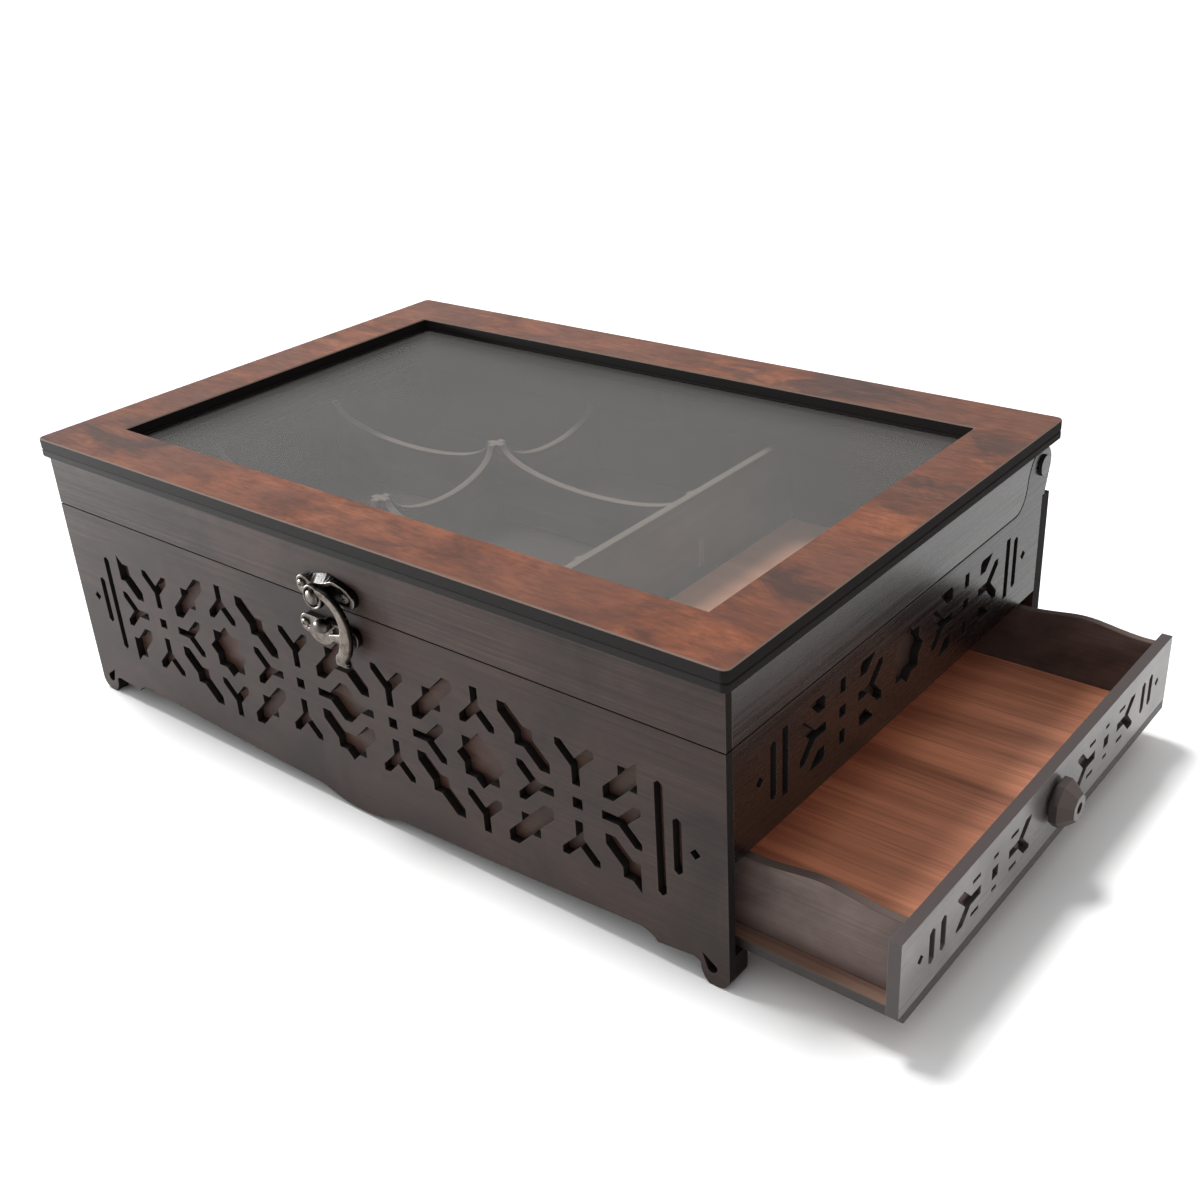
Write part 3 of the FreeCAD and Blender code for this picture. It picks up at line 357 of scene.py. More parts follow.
@dataclass(frozen=True)
class PlainVeneer:
    """Straight-grained veneer, for the drawer's lining and the floor of the bays.

    Where it has a painted shade colour, the floor is painted that dark colour up to painted_shade_until along
    X, as painted shade in the deep bays.
    """

    name: str
    wood: Wood
    grain: Axis = Axis.X
    edge: Colour = (0.016, 0.011, 0.009)
    rough: float = 0.5
    bump: float = 0.05 * MM
    band_waves: Span = (3.2, 62.0)
    line_waves: Span = (14.0, 900.0)
    stops: Triple = (0.30, 0.47, 0.68)
    painted_shade: Optional[Colour] = None
    painted_shade_until: float = 0.0
    painted_shade_blend: float = 0.5 * MM

    def build(self) -> bpy.types.Material:
        """Makes the material."""
        g = Graph(self.name)
        bands = g.noise(self.grain.vector(*self.band_waves), detail=5.0, rough=0.62, warp=0.5)
        lines = g.noise(self.grain.vector(*self.line_waves), detail=3.0, rough=0.7)
        dark, light = self.wood.value
        middle = tuple((a + b) / 2 for a, b in zip(dark, light))
        wood = g.ramp(bands, tuple(zip(self.stops, (dark, middle, light))))
        wood = g.mix(g.spread(lines, 0.0, 0.6, start=0.48, end=0.75), wood, dark)
        # Painted shade: the floor takes the dark colour before painted_shade_until along X.
        if self.painted_shade:
            past = g.spread(g.part("Object", Axis.X), 0.0, 1.0, start=self.painted_shade_until - self.painted_shade_blend,
                            end=self.painted_shade_until)
            wood = g.mix(past, self.painted_shade, wood)
        colour = g.mix(g.facing(Axis.Z, 0.6, 0.9), self.edge, wood)
        g.relief(lines, self.bump)
        return g.finish(Base_Color=colour, Roughness=g.spread(lines, self.rough - 0.08, self.rough + 0.08))


@dataclass(frozen=True)
class AgedBronze:
    """Cast metal with black patina in its hollows, painted shade near black on the surfaces that face up,
    rubbed bright in front, and a pale colour along its edges that is partly edge wear and partly painted
    highlight.

    The metal is rubbed only in front of the plane Y = outer.
    """

    name: str = "aged_bronze"
    hollow: tuple[Colour, Colour] = ((0.006, 0.0045, 0.004), (0.030, 0.024, 0.020))
    rubbed: tuple[Colour, Colour] = ((0.055, 0.046, 0.039), (0.165, 0.140, 0.120))
    # Pale colour of convex edges: partly edge wear, partly painted highlight.
    bright: Colour = (0.46, 0.41, 0.36)
    # Painted shade for the surfaces that face up.
    painted_top_shade: Colour = (0.003, 0.0025, 0.0022)
    outer: float = -109.6 * MM
    outer_blend: float = 0.1 * MM
    metallic: float = 0.95
    rough: Span = (0.28, 0.44)
    bump: float = 0.07 * MM
    cloud_waves: float = 420.0
    grit_waves: float = 2600.0

    def build(self) -> bpy.types.Material:
        """Makes the material."""
        g = Graph(self.name)
        cloud = g.noise((self.cloud_waves,) * 3, detail=4.0, rough=0.65)
        grit = g.noise((self.grit_waves,) * 3, detail=2.0, rough=0.5)
        edges = g.add("ShaderNodeNewGeometry").outputs["Pointiness"]
        ahead = g.spread(g.part("Object", Axis.Y), 1.0, 0.0, start=self.outer - self.outer_blend,
                         end=self.outer + self.outer_blend)
        front = g.combine("MULTIPLY", g.toward(Axis.Y, -0.86, -0.97), ahead)
        hollow = g.ramp(cloud, tuple(zip((0.35, 0.68), self.hollow)))
        rubbed = g.ramp(cloud, tuple(zip((0.32, 0.62), self.rubbed)))
        colour = g.mix(front, hollow, rubbed)
        colour = g.mix(g.spread(edges, 0.6, 0.0, start=0.42, end=0.49), colour, self.hollow[0])
        # Convex edges turn pale: partly edge wear, partly painted highlight.
        colour = g.mix(g.spread(edges, 0.0, 1.0, start=0.52, end=0.60), colour, self.bright)
        # Painted shade: surfaces that face up turn near black.
        colour = g.mix(g.toward(Axis.Z, 0.45, 0.70), colour, self.painted_top_shade)
        g.relief(g.mix(0.5, cloud, grit), self.bump)
        return g.finish(Base_Color=colour, Metallic=self.metallic, Roughness=g.spread(cloud, *self.rough))


@dataclass(frozen=True)
class HazyPane:
    """Clear pane with a light grey haze and a soft gloss."""

    name: str = "hazy_pane"
    haze: tuple[Colour, Colour] = ((0.140, 0.138, 0.132), (0.172, 0.169, 0.163))
    strength: float = 0.27
    rough: Span = (0.24, 0.3)
    gloss: float = 0.5
    index: float = 1.5
    waves: Triple = (9.0, 14.0, 9.0)

    def build(self) -> bpy.types.Material:
        """Makes the material."""
        g = Graph(self.name)
        smear = g.noise(self.waves, detail=3.0, rough=0.5)
        colour = g.ramp(smear, tuple(zip((0.3, 0.7), self.haze)))
        g.material.surface_render_method = "BLENDED"
        return g.finish(Base_Color=colour, Alpha=self.strength, Roughness=g.spread(smear, *self.rough),
                        IOR=self.index, Specular_IOR_Level=self.gloss)


# Meshes


def new_piece(name: str, mesh: bpy.types.Mesh, material: bpy.types.Material) -> bpy.types.Object:
    """Puts a mesh in the scene as one piece with one material.

    Args:
        name: The piece's name.
        mesh: Its mesh, in metres and in place.
        material: Its finish.

    Returns:
        The new object, at the origin.
    """
    mesh.materials.clear()
    mesh.materials.append(material)
    piece = bpy.data.objects.new(name, mesh)
    bpy.context.scene.collection.objects.link(piece)
    return piece


def node_copy(node: str) -> bmesh.types.BMesh:
    """Copy of a CAD node with its loose triangles joined and its flat faces made whole."""
    mesh = bmesh.new()
    mesh.from_mesh(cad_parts[node].data)
    bmesh.ops.remove_doubles(mesh, verts=mesh.verts, dist=WELD)
    bmesh.ops.dissolve_limit(mesh, angle_limit=FLAT_ANGLE, verts=mesh.verts, edges=mesh.edges)
    return mesh


def to_mesh(name: str, shape: bmesh.types.BMesh, smooth: bool = False) -> bpy.types.Mesh:
    """Turns a working mesh into a stored one and frees it."""
    mesh = bpy.data.meshes.new(name)
    if smooth:
        for face in shape.faces:
            face.smooth = True
    shape.to_mesh(mesh)
    shape.free()
    return mesh


def soften(piece: bpy.types.Object, width: float, segments: int = 1) -> None:
    """Breaks the sharp edges of a piece.

    Args:
        piece: The piece that gets the bevel.
        width: The bevel's width.
        segments: Its steps: 1 for a flat arris, more for a round one.
    """
    bevel = piece.modifiers.new("arris", "BEVEL")
    bevel.width = width
    bevel.segments = segments
    bevel.limit_method = "ANGLE"
    bevel.angle_limit = SHARP_ANGLE
    bevel.use_clamp_overlap = True


def settle(piece: bpy.types.Object, body: str, slot: Slot, *nodes: str) -> None:
    """Hides the CAD nodes that a piece stands for and hangs the piece on its body.

    Args:
        piece: The finished piece.
        body: The body that it rides on.
        slot: Its material slot; not used.
        nodes: The CAD nodes that it stands for.
    """
    if nodes:
        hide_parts(*nodes)
    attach(piece, body)
    log.info("%s rides on %s and stands for %s", piece.name, body, ", ".join(nodes) or "itself")


def dress(material: bpy.types.Material, *nodes: str) -> None:
    """Gives CAD nodes that stay in view their finish."""
    for node in nodes:
        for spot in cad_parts[node].material_slots:
            spot.material = material
    log.info("%s on %s", material.name, ", ".join(nodes))


def sweep(shape: bmesh.types.BMesh, path: Sequence[Vector], wide: Sequence[float], thick: Sequence[float],
          side: Vector, sides: int = 24, square: float = 1.0) -> None:
    """Adds a closed bar with an oval or nearly square section along a path.

    Args:
        shape: The mesh that takes the bar.
        path: Points of the centre line.
        wide: Half width at each point, across the path and across side.
        thick: Half thickness at each point, along side.
        side: Direction of the thickness.
        sides: Corners of the section.
        square: 1 for an oval, less for flatter faces with rounded corners.
    """
    turns = [2.0 * math.pi * step / sides for step in range(sides)]
    section = [(math.copysign(abs(math.cos(t)) ** square, math.cos(t)),
                math.copysign(abs(math.sin(t)) ** square, math.sin(t))) for t in turns]
    rings = []
    last = len(path) - 1
    for k, point in enumerate(path):
        run = (path[min(k + 1, last)] - path[max(k - 1, 0)]).normalized()
        across = run.cross(side).normalized()
        rings.append([shape.verts.new(point + across * (wide[k] * a) + side * (thick[k] * b))
                      for a, b in section])
    for first, second in zip(rings, rings[1:]):
        for k in range(sides):
            m = (k + 1) % sides
            shape.faces.new((first[k], first[m], second[m], second[k]))
    shape.faces.new(rings[0][::-1])
    shape.faces.new(rings[-1])


def smooth_line(points: Sequence[Vector], steps: int = 6) -> list[Vector]:
    """Rounded line through points, by Catmull and Rom's rule.

    Args:
        points: The points that the line meets.
        steps: Number of pieces from one point to the next.

    Returns:
        The points of the line.
    """
    line = []
    for k in range(len(points) - 1):
        p0, p1 = points[max(k - 1, 0)], points[k]
        p2, p3 = points[k + 1], points[min(k + 2, len(points) - 1)]
        for step in range(steps):
            u = step / steps
            line.append(0.5 * ((2 * p1) + (p2 - p0) * u + (2 * p0 - 5 * p1 + 4 * p2 - p3) * u * u
                               + (3 * p1 - p0 - 3 * p2 + p3) * u * u * u))
    return line + [points[-1]]


# The box


@dataclass
class Board:
    """One board of the box, taken from its CAD node and given broken edges."""

    node: str
    body: str
    finish: bpy.types.Material
    slot: Slot = Slot.BOARD
    arris: float = 0.22 * MM

    def build(self) -> None:
        """Makes the piece that stands for the node."""
        name = self.node + "_board"
        piece = new_piece(name, to_mesh(name, node_copy(self.node)), self.finish)
        soften(piece, self.arris)
        settle(piece, self.body, self.slot, self.node)


def add_boards(body: str, finish: bpy.types.Material, *nodes: str) -> None:
    """Makes boards of one body that share a finish."""
    for node in nodes:
        Board(node, body, finish).build()


@dataclass
class Tray:
    """Walls, liners, runners and dividers that stay still."""

    body: str = "tray"
    divider_cut: Colour = (0.270, 0.225, 0.195)
    divider_arris: Colour = (0.34, 0.285, 0.25)
    # Painted shade: dark colour of the tea bays' floors, which lie in shade.
    painted_bay_shade: Colour = (0.060, 0.045, 0.038)
    long_bay_start: float = 52.0 * MM

    def build(self) -> None:
        """Makes every piece of the tray."""
        self.walls()
        self.dividers()
        # The tea bays' floors get painted shade up to the long bay.
        dress(PlainVeneer("bay_veneer", Wood.BAY_FLOOR, painted_shade=self.painted_bay_shade,
                          painted_shade_until=self.long_bay_start).build(), "bay_floor")

    def walls(self) -> None:
        """Makes the fretted walls and dresses the boards behind them."""
        long_finish = StainedBoard("walnut_long_wall").build()
        # The short walls' near-black colour is painted shade.
        short_finish = StainedBoard("walnut_short_wall_in_shade", Axis.X, Axis.Y, Wood.SHADED_SHORT_WALL, rough=0.25,
                                    gloss=0.32, bump=POLISHED_GRAIN, seed=3.0).build()
        add_boards(self.body, long_finish, "front_panel", "back_panel")
        add_boards(self.body, short_finish, "right_panel", "left_panel")
        dress(StainedBoard("walnut_liner_long", wood=Wood.LINER, seed=5.0).build(), "front_liner", "back_liner")
        dress(StainedBoard("walnut_liner_short", Axis.X, Axis.Y, Wood.LINER, seed=6.0).build(), "left_liner",
              "right_liner")
        dress(long_finish, "runner_front", "runner_back")

    def dividers(self) -> None:
        """Makes the boards between the bays, whose cut edges and arrises are coloured pale."""
        pale = {"wood": Wood.DIVIDER, "cut": self.divider_cut, "arris": self.divider_arris}
        cross = StainedBoard("divider_cross", Axis.Y, Axis.X, seed=8.0, **pale).build()
        along = StainedBoard("divider_long", Axis.X, Axis.Y, seed=9.0, **pale).build()
        add_boards(self.body, cross, "cross_divider_front", "cross_divider_back")
        add_boards(self.body, along, "scooped_divider", "straight_divider")


@dataclass
class Lid:
    """Veneered frame, pane, hanging walls and hinge rails that swing up together."""

    body: str = "lid"
    frame_arris: float = 0.45 * MM

    def build(self) -> None:
        """Makes every piece of the lid."""
        Board("lid_top_frame", self.body, BurlVeneer().build(), Slot.VENEER, self.frame_arris).build()
        edge = StainedBoard("lid_edge_board", Axis.Z, Axis.X, cut=BURNT_EDGE, arris=BURNT_EDGE, rough=0.6,
                            seed=2.0).build()
        Board("lid_under_frame", self.body, edge, arris=self.frame_arris).build()
        long_wall = StainedBoard("lid_wall_long", wood=Wood.LID_LONG_WALL, seed=11.0).build()
        # The lid's short walls, hinge rails and pegs take near-black painted shade.
        short_wall = StainedBoard("lid_wall_short_in_shade", Axis.X, Axis.Y, Wood.LID_SHADED_SHORT_WALL, rough=0.25, gloss=0.5,
                                  bump=POLISHED_GRAIN, seed=12.0).build()
        add_boards(self.body, long_wall, "lid_wall_front", "lid_wall_back")
        add_boards(self.body, short_wall, "lid_wall_right", "lid_wall_left")
        dress(short_wall, "hinge_rail_right", "hinge_rail_left", "hinge_peg_right", "hinge_peg_left")
        dress(HazyPane().build(), "lid_pane")


@dataclass
class SwingHook:
    """Cast plate on the lid, keeper on the tray, and the bowed arm between them.

    The tables of places are in millimetres, as X and Z: the arm's bow with its half width, its tooth, the
    arch of the plate's top edge, the dishes in plate and keeper, and the screws, as X, Y and Z. The single
    measures are in metres.
    """

    metal: bpy.types.Material
    face: float = -109.9 * MM
    face_slack: float = 0.1 * MM
    pivot: Span = (-1.6 * MM, 91.5 * MM)
    arm_middle: float = -112.1 * MM
    arm_thick: float = 1.25 * MM
    bow: tuple[Triple, ...] = (
        (0.2, 93.8, 1.8), (5.0, 92.7, 1.9), (9.3, 89.6, 2.0), (11.9, 84.8, 2.4), (12.2, 79.6, 2.8),
        (11.1, 74.6, 2.8), (9.5, 71.5, 2.5), (8.8, 69.8, 3.3), (8.7, 67.8, 3.3))
    tooth: tuple[Span, ...] = ((11.4, 78.8), (7.2, 78.3), (3.9, 78.0))
    tooth_wide: Span = (2.2 * MM, 0.6 * MM)
    tooth_thick: Span = (1.2 * MM, 0.7 * MM)
    ring: Span = (4.1 * MM, 0.6 * MM)
    ring_steps: int = 40
    hub_sunk: Span = (0.1 * MM, 0.2 * MM)
    arch: tuple[Span, ...] = (
        (-14.0, 93.0), (-11.5, 97.0), (-8.0, 96.2), (-5.0, 94.2), (0.6, 95.8), (5.7, 98.0), (11.0, 97.8),
        (13.7, 95.4), (16.5, 93.0))
    catch: Triple = (-0.9 * MM, -111.4 * MM, 80.0 * MM)
    catch_half: Triple = (3.4 * MM, 2.4 * MM, 2.7 * MM)
    catch_rubbed: tuple[Colour, Colour] = ((0.020, 0.017, 0.015), (0.060, 0.052, 0.045))
    dome_half: Triple = (2.9 * MM, 1.3 * MM, 2.9 * MM)
    dome_rise: float = 1.1 * MM
    dish_deep: float = 0.9 * MM
    plate_dish: tuple[Span, ...] = (
        (-4.6, 90.0), (-4.6, 92.4), (-3.4, 93.4), (0.6, 94.3), (5.7, 96.5), (10.2, 96.3), (12.9, 94.7),
        (14.4, 92.6), (13.4, 90.4))
    keeper_dish: tuple[Span, ...] = ((2.4, 75.4), (2.4, 78.4), (4.2, 80.2), (8.6, 80.2), (8.6, 75.4))
    plate_screws: tuple[Triple, ...] = ((-9.8, -110.25, 93.2), (11.2, -109.35, 92.9))
    keeper_screws: tuple[Triple, ...] = ((-11.2, -110.25, 77.6), (11.6, -110.25, 77.6))
    sink_radii: Span = (3.0 * MM, 1.6 * MM)
    sink_long: float = 2.4 * MM
    sink_middle: float = 0.3 * MM
    voxel: float = 0.2 * MM

    def cast(self, name: str, shape: bmesh.types.BMesh,
             cutter: Optional[bpy.types.Object] = None) -> bpy.types.Object:
        """Joins overlapping closed forms into one skin with soft cast edges.

        Args:
            name: The piece's name.
            shape: The closed forms, which may cross each other.
            cutter: Object whose space is taken out first.

        Returns:
            The piece, as a plain mesh.
        """
        rough = new_piece(name + "_rough", to_mesh(name + "_rough", shape), self.metal)
        if cutter:
            hollow = rough.modifiers.new("hollows", "BOOLEAN")
            hollow.operation = "DIFFERENCE"
            hollow.object = cutter
            hollow.use_self = True
        join = rough.modifiers.new("one_skin", "REMESH")
        join.mode = "VOXEL"
        join.voxel_size = self.voxel
        join.use_smooth_shade = True
        ease = rough.modifiers.new("cast_surface", "SMOOTH")
        ease.factor = 0.5
        ease.iterations = 4
        ready = rough.evaluated_get(bpy.context.evaluated_depsgraph_get())
        piece = new_piece(name, bpy.data.meshes.new_from_object(ready), self.metal)
        bpy.data.objects.remove(rough)
        return piece

    def arm(self) -> bpy.types.Object:
        """Bowed arm with its cupped hub, its tooth and its flared end."""
        shape = bmesh.new()
        side = Vector((0.0, 1.0, 0.0))
        points = smooth_line([Vector((x * MM, self.arm_middle, z * MM)) for x, z, _ in self.bow])
        halves = smooth_line([Vector((w * MM, 0.0, 0.0)) for _, _, w in self.bow])
        sweep(shape, points, [half.x for half in halves], [self.arm_thick] * len(points), side, square=0.62)
        line = smooth_line([Vector((x * MM, self.arm_middle, z * MM)) for x, z in self.tooth])
        wide, thick = ([start + (end - start) * k / (len(line) - 1) for k in range(len(line))]
                       for start, end in (self.tooth_wide, self.tooth_thick))
        sweep(shape, line, wide, thick, side, square=0.7)
        reach, half = self.ring
        turns = [2.0 * math.pi * k / self.ring_steps for k in range(self.ring_steps + 2)]
        loop = [Vector((self.pivot[0] + reach * math.cos(turn), self.arm_middle,
                        self.pivot[1] + reach * math.sin(turn))) for turn in turns]
        sweep(shape, loop, [half] * len(loop), [self.arm_thick] * len(loop), side, sides=12, square=0.7)
        back, front = self.face - self.hub_sunk[0], self.arm_middle + self.hub_sunk[1]
        hub = Matrix.Translation((self.pivot[0], (back + front) / 2, self.pivot[1]))
        bmesh.ops.create_cone(shape, cap_ends=True, segments=self.ring_steps, radius1=reach, radius2=reach,
                              depth=back - front, matrix=hub @ Matrix.Rotation(math.radians(90.0), 4, "X"))
        return self.cast("hook_bow", shape)

    def crown(self) -> bmesh.types.BMesh:
        """The lid's plate with its top edge drawn in towards a smaller arch in front."""
        shape = node_copy("hook_plate")
        for vert in shape.verts:
            x, z = vert.co.x / MM, vert.co.z / MM
            if vert.co.y < self.face + self.face_slack and z > self.arch[0][1]:
                for (x0, z0), (x1, z1) in zip(self.arch, self.arch[1:]):
                    if x0 <= x < x1:
                        vert.co.z = min(z, z0 + (z1 - z0) * (x - x0) / (x1 - x0)) * MM
        return shape

    def sinks(self, place: Triple, dish: Sequence[Span]) -> bpy.types.Object:
        """Cutter with a conical hollow for one screw head and a shallow dish.

        Args:
            place: Middle of the screw head.
            dish: Outline of the dish, as X and Z.

        Returns:
            The cutter, which is taken away after use.
        """
        shape = bmesh.new()
        middle = Matrix.Translation((place[0] * MM, self.face - self.sink_middle, place[2] * MM))
        wide, narrow = self.sink_radii
        bmesh.ops.create_cone(shape, cap_ends=True, segments=32, radius1=wide, radius2=narrow,
                              depth=self.sink_long,
                              matrix=middle @ Matrix.Rotation(math.radians(-90.0), 4, "X"))
        rings = [[shape.verts.new((x * MM, y, z * MM)) for x, z in dish]
                 for y in (self.face + self.dish_deep, self.face - self.dish_deep)]
        for k in range(len(dish)):
            m = (k + 1) % len(dish)
            shape.faces.new((rings[0][k], rings[0][m], rings[1][m], rings[1][k]))
        shape.faces.new(rings[0][::-1])
        shape.faces.new(rings[1])
        bmesh.ops.recalc_face_normals(shape, faces=shape.faces)
        return new_piece("screw_sinks", to_mesh("screw_sinks", shape), self.metal)

    def lump(self, name: str, middle: Triple, half: Triple, metal: bpy.types.Material) -> bpy.types.Object:
        """Rounded lump of metal.

        Args:
            name: The piece's name.
            middle: Its middle.
            half: Its half lengths along X, Y and Z.
            metal: Its finish.

        Returns:
            The piece.
        """
        shape = bmesh.new()
        bmesh.ops.create_uvsphere(shape, u_segments=32, v_segments=18, radius=1.0)
        bmesh.ops.scale(shape, verts=shape.verts, vec=half)
        bmesh.ops.translate(shape, verts=shape.verts, vec=middle)
        return new_piece(name, to_mesh(name, shape, smooth=True), metal)

    def build(self) -> None:
        """Makes the hook's three bodies."""
        settle(self.arm(), "hook", Slot.BRASS, "hook_arm")
        for name, node, body, shape, screw, dish in (
                ("hook_crown_plate", "hook_plate", "lid", self.crown(), self.plate_screws[0], self.plate_dish),
                ("hook_keeper_plate", "hook_keeper", "tray", node_copy("hook_keeper"), self.keeper_screws[0],
                 self.keeper_dish)):
            cutter = self.sinks(screw, dish)
            settle(self.cast(name, shape, cutter), body, Slot.BRASS, node)
            bpy.data.objects.remove(cutter)
        dark = AgedBronze("dark_bronze", rubbed=self.catch_rubbed).build()
        settle(self.lump("hook_catch_lump", self.catch, self.catch_half, dark), "tray", Slot.BRASS)
        dome = (self.pivot[0], self.arm_middle - self.dome_rise, self.pivot[1])
        settle(self.lump("hook_rivet_dome", dome, self.dome_half, self.metal), "lid", Slot.BRASS, "hook_rivet")
        ScrewHeads("plate_screws", "lid", self.metal, self.plate_screws).build()
        ScrewHeads("keeper_screws", "tray", self.metal, self.keeper_screws).build()


@dataclass
class ScrewHeads:
    """Domed heads with a crossed slot, set by a node tree on a list of places in millimetres."""

    name: str
    body: str
    metal: bpy.types.Material
    places: tuple[Triple, ...]
    radius: float = 1.75 * MM
    rise: float = 0.75 * MM
    slot_wide: float = 0.5 * MM
    slot_reach: float = 1.25
    turn: float = 0.5
    segments: int = 28
    rings: int = 14

    def tree(self) -> bpy.types.GeometryNodeTree:
        """Node tree that puts one slotted head on every point."""
        tree = bpy.data.node_groups.new(self.name + "_tree", "GeometryNodeTree")
        face = tree.interface
        face.new_socket("Geometry", in_out="INPUT", socket_type="NodeSocketGeometry")
        for label in ("Head Radius", "Head Rise", "Slot Width", "Slot Turn"):
            face.new_socket(label, in_out="INPUT", socket_type="NodeSocketFloat")
        face.new_socket("Metal", in_out="INPUT", socket_type="NodeSocketMaterial")
        face.new_socket("Geometry", in_out="OUTPUT", socket_type="NodeSocketGeometry")
        entry = tree.nodes.new("NodeGroupInput").outputs
        add = partial(add_node, tree)
        turn = add("ShaderNodeCombineXYZ", {2: entry["Slot Turn"]})
        turned = add("GeometryNodeTransform", {"Geometry": self.slotted_head(tree, entry),
                                               "Rotation": turn.outputs[0]})
        heads = add("GeometryNodeInstanceOnPoints", {"Points": entry["Geometry"], "Instance": turned.outputs[0],
                                                     "Rotation": (math.radians(90.0), 0.0, 0.0)})
        real = add("GeometryNodeRealizeInstances", {"Geometry": heads.outputs[0]})
        metal = add("GeometryNodeSetMaterial", {"Geometry": real.outputs[0], "Material": entry["Metal"]})
        add("NodeGroupOutput", {0: metal.outputs[0]})
        return tree

    def slotted_head(self, tree: bpy.types.GeometryNodeTree,
                     entry: bpy.types.bpy_prop_collection) -> bpy.types.NodeSocket:
        """Part of the tree that makes one head, facing up.

        Args:
            tree: The node tree.
            entry: The sockets of its group input.

        Returns:
            The socket with the head's mesh.
        """
        add = partial(add_node, tree)
        radius, rise = entry["Head Radius"], entry["Head Rise"]
        ball = add("GeometryNodeMeshUVSphere", {"Segments": self.segments, "Rings": self.rings,
                                                "Radius": radius})
        squeeze = add("ShaderNodeMath", {0: rise, 1: radius}, operation="DIVIDE")
        flat = add("ShaderNodeCombineXYZ", {0: 1.0, 1: 1.0, 2: squeeze.outputs[0]})
        head = add("GeometryNodeTransform", {"Geometry": ball.outputs["Mesh"], "Scale": flat.outputs[0]})
        long = add("ShaderNodeMath", {0: radius, 1: self.slot_reach}, operation="MULTIPLY").outputs[0]
        lift = add("ShaderNodeCombineXYZ", {2: rise})
        cross = add("GeometryNodeMeshBoolean", operation="UNION")
        for along, across in ((long, entry["Slot Width"]), (entry["Slot Width"], long)):
            size = add("ShaderNodeCombineXYZ", {0: along, 1: across, 2: rise})
            bar = add("GeometryNodeMeshCube", {"Size": size.outputs[0]})
            lifted = add("GeometryNodeTransform", {"Geometry": bar.outputs["Mesh"],
                                                   "Translation": lift.outputs[0]})
            feed(tree, cross.inputs["Mesh 2"], lifted.outputs[0])
        slotted = add("GeometryNodeMeshBoolean", {"Mesh 1": head.outputs[0], "Mesh 2": cross.outputs["Mesh"]},
                      operation="DIFFERENCE")
        return slotted.outputs["Mesh"]

    def build(self) -> None:
        """Makes the heads as one plain mesh on their body."""
        points = bpy.data.meshes.new(self.name + "_places")
        points.from_pydata([tuple(v * MM for v in place) for place in self.places], [], [])
        maker = new_piece(self.name + "_maker", points, self.metal)
        tree = self.tree()
        modifier = maker.modifiers.new("heads", "NODES")
        modifier.node_group = tree
        values = {"Head Radius": self.radius, "Head Rise": self.rise, "Slot Width": self.slot_wide,
                  "Slot Turn": self.turn, "Metal": self.metal}
        for item in tree.interface.items_tree:
            if item.in_out == "INPUT" and item.name in values:
                modifier[item.identifier] = values[item.name]
        ready = maker.evaluated_get(bpy.context.evaluated_depsgraph_get())
        mesh = bpy.data.meshes.new_from_object(ready)
        bpy.data.objects.remove(maker)
        settle(new_piece(self.name, mesh, self.metal), self.body, Slot.BRASS)


@dataclass
class Drawer:
    """Long drawer with its fretted front, veneered lining and faceted knob."""

    body: str = "drawer"
    knob_arris: float = 0.5 * MM
    knob_steps: int = 3

    def build(self) -> None:
        """Makes every piece of the drawer."""
        # The drawer front's pale grey base colour is painted sheen.
        front = StainedBoard("drawer_front_board", Axis.X, Axis.Y, Wood.SHEENED_DRAWER_FRONT,
                             cut=(0.038, 0.027, 0.026), arris=(0.075, 0.056, 0.053), rough=0.3, gloss=0.7,
                             seed=15.0).build()
        wall = StainedBoard("drawer_wall_board", wood=Wood.DRAWER_WALL, cut=(0.085, 0.062, 0.055),
                            seed=16.0).build()
        end = StainedBoard("drawer_end_board", Axis.X, Axis.Y, seed=17.0).build()
        add_boards(self.body, front, "drawer_front")
        add_boards(self.body, wall, "drawer_wall_front", "drawer_wall_back")
        add_boards(self.body, end, "drawer_end_wall")
        add_boards(self.body, PlainVeneer("drawer_base_veneer", Wood.DRAWER_BASE).build(), "drawer_board")
        dress(PlainVeneer("drawer_lining_veneer", Wood.DRAWER_LINING).build(), "drawer_lining")
        self.knob()

    def knob(self) -> None:
        """Makes the knob, with rounder edges than the boards have, and dresses its screw."""
        finish = StainedBoard("knob_wood", Axis.X, Axis.Y, Wood.KNOB, cut=(0.026, 0.018, 0.016),
                              arris=(0.060, 0.044, 0.038), rough=0.3, gloss=0.5, seed=19.0).build()
        pull = new_piece("drawer_pull", to_mesh("drawer_pull", node_copy("drawer_knob")), finish)
        soften(pull, self.knob_arris, self.knob_steps)
        settle(pull, self.body, Slot.BOARD, "drawer_knob")
        dress(AgedBronze("knob_screw_metal").build(), "knob_screw")


# The photograph's view


@dataclass(frozen=True)
class Glow:
    """Square light that only adds gloss: where it stands, its side in metres and its power in watts."""

    name: str
    place: Triple
    size: float
    power: float


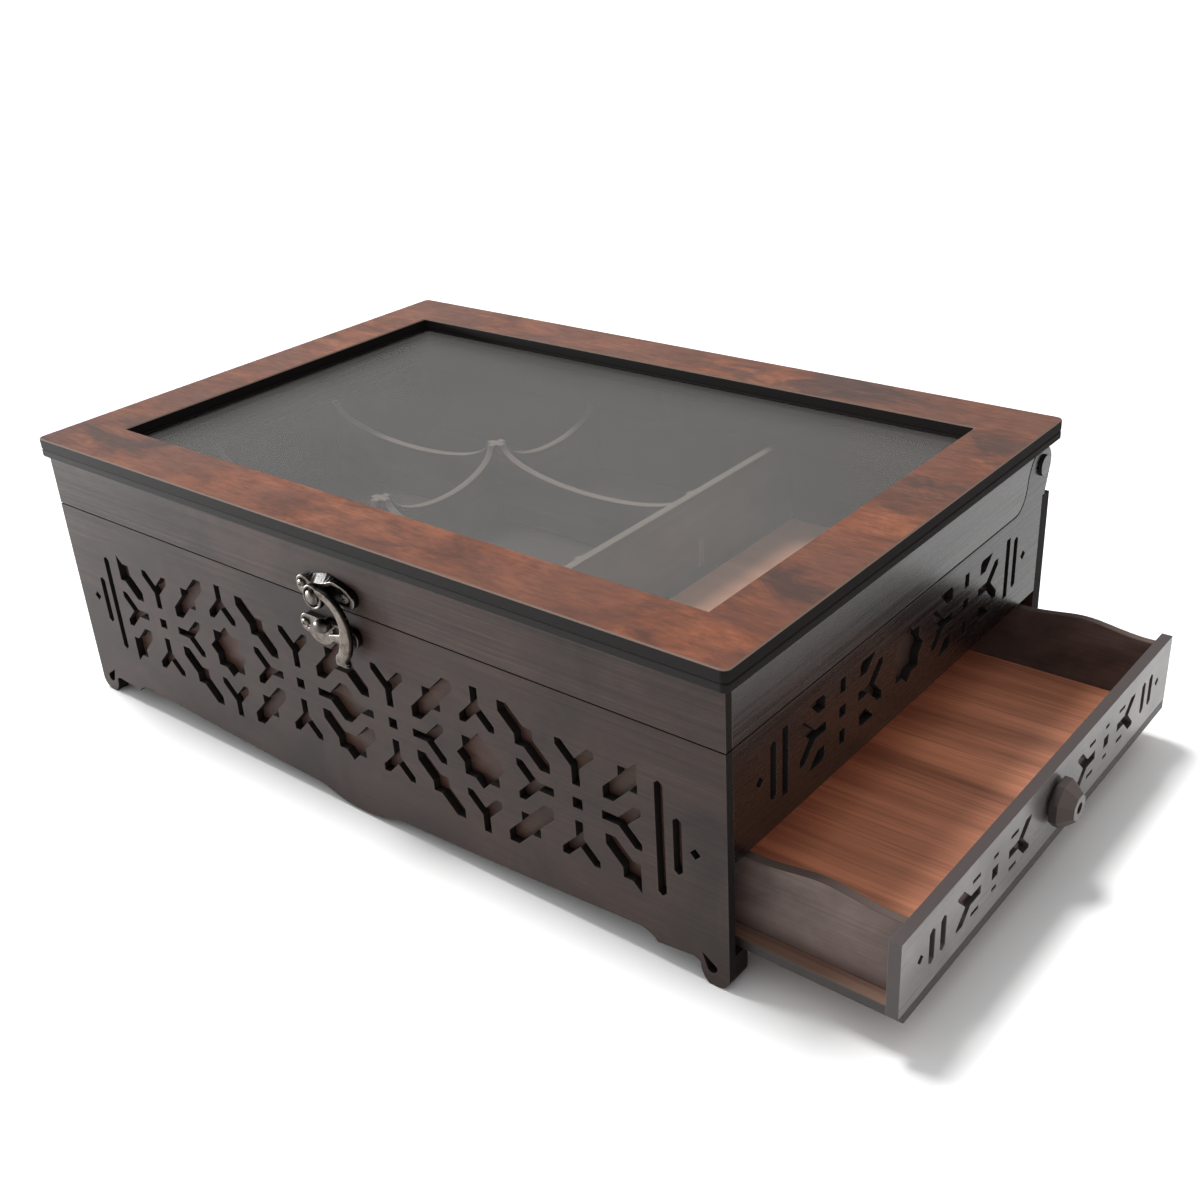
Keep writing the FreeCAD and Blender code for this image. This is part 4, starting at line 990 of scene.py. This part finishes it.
@dataclass
class Studio:
    """Camera at the photograph's angle, pale floor and soft lights.

    The sky's strength goes from sky_low, away from sky_side, to sky_high on that side.
    """

    azimuth: float = 40.48
    elevation: float = 27.57
    roll: float = -3.58
    lens: float = 43.11
    sensor: float = 36.0
    nearest: float = 10.0 * MM
    distance: float = 600.0 * MM
    target: Triple = (7.4 * MM, 25.6 * MM, 31.6 * MM)
    sun_from: Triple = (-0.36, 0.06, 0.93)
    sun_power: float = 3.4
    sun_spread: float = 18.0
    sky_side: Triple = (-0.70, -0.10, 0.70)
    sky_low: float = 0.12
    sky_high: float = 1.02
    floor_half: float = 40.0
    floor_shades: Span = (0.86, 0.9)
    floor_waves: Triple = (3.0, 3.0, 3.0)
    glows: tuple[Glow, ...] = (Glow("left_sheen", (-1.72, -0.58, 0.12), 0.4, 115.0),)

    def camera(self) -> None:
        """Places the camera, turned about its own axis by the photograph's roll."""
        azimuth, elevation, roll = (math.radians(v) for v in (self.azimuth, self.elevation, self.roll))
        back = Vector((math.sin(azimuth) * math.cos(elevation), -math.cos(azimuth) * math.cos(elevation),
                       math.sin(elevation)))
        right = Vector((0.0, 0.0, 1.0)).cross(back).normalized()
        up = back.cross(right)
        x = right * math.cos(roll) + up * math.sin(roll)
        y = up * math.cos(roll) - right * math.sin(roll)
        data = bpy.data.cameras.new("view")
        data.sensor_width = self.sensor
        data.lens = self.lens
        data.clip_start = self.nearest
        camera = bpy.data.objects.new("view", data)
        turn = Matrix((x, y, back)).transposed().to_4x4()
        camera.matrix_world = Matrix.Translation(Vector(self.target) + back * self.distance) @ turn
        bpy.context.scene.collection.objects.link(camera)
        bpy.context.scene.camera = camera

    def lamp(self, name: str, place: Triple, power: float, kind: str = "AREA") -> bpy.types.Object:
        """Adds one light that looks at the box.

        Args:
            name: The light's name.
            place: Where it stands.
            power: Watts, or watts for each square metre for a sun.
            kind: Blender's name of the light type.

        Returns:
            The light.
        """
        data = bpy.data.lights.new(name, kind)
        data.energy = power
        lamp = bpy.data.objects.new(name, data)
        spot = Vector(place)
        turn = (spot - Vector(self.target)).to_track_quat("Z", "Y").to_matrix().to_4x4()
        lamp.matrix_world = Matrix.Translation(spot) @ turn
        bpy.context.scene.collection.objects.link(lamp)
        return lamp

    def sky(self) -> None:
        """Sky that is brighter towards one side, and pale where the camera sees it."""
        world = bpy.data.worlds.new("soft_sky")
        world.use_nodes = True
        tree = world.node_tree
        place = add_node(tree, "ShaderNodeTexCoord")
        share = add_node(tree, "ShaderNodeVectorMath",
                         {0: place.outputs["Generated"], 1: Vector(self.sky_side).normalized()},
                         operation="DOT_PRODUCT")
        level = add_node(tree, "ShaderNodeMapRange", {0: share.outputs["Value"], 1: -1.0, 2: 1.0,
                                                      3: self.sky_low, 4: self.sky_high})
        seen = add_node(tree, "ShaderNodeLightPath").outputs["Is Camera Ray"]
        shown = add_node(tree, "ShaderNodeMath", {0: level.outputs[0], 1: seen}, operation="MAXIMUM")
        background = tree.nodes["Background"].inputs
        feed(tree, background["Color"], (1.0, 1.0, 1.0))
        feed(tree, background["Strength"], shown.outputs[0])
        bpy.context.scene.world = world

    def floor(self) -> None:
        """Pale matt floor."""
        g = Graph("pale_floor")
        greys = [(shade,) * 3 for shade in self.floor_shades]
        shade = g.ramp(g.noise(self.floor_waves), tuple(zip((0.3, 0.7), greys)))
        shape = bmesh.new()
        bmesh.ops.create_grid(shape, x_segments=1, y_segments=1, size=self.floor_half)
        finish = g.finish(Base_Color=shade, Roughness=0.8, Specular_IOR_Level=0.0)
        new_piece("studio_floor", to_mesh("studio_floor", shape), finish)

    def build(self) -> None:
        """Sets up the camera, the floor, the sky and the lights."""
        self.camera()
        self.floor()
        self.sky()
        bpy.context.scene.view_settings.view_transform = "Standard"
        sun = self.lamp("key_sun", self.sun_from, self.sun_power, "SUN")
        sun.data.angle = math.radians(self.sun_spread)
        for glow in self.glows:
            lamp = self.lamp(glow.name, glow.place, glow.power)
            lamp.data.size = glow.size
            lamp.visible_diffuse = False


def main() -> None:
    """Builds the box and its view."""
    logging.basicConfig(level=logging.INFO, format="%(message)s")
    Studio().build()
    Tray().build()
    Lid().build()
    metal = AgedBronze().build()
    SwingHook(metal).build()
    Drawer().build()


if __name__ == "__main__":
    main()
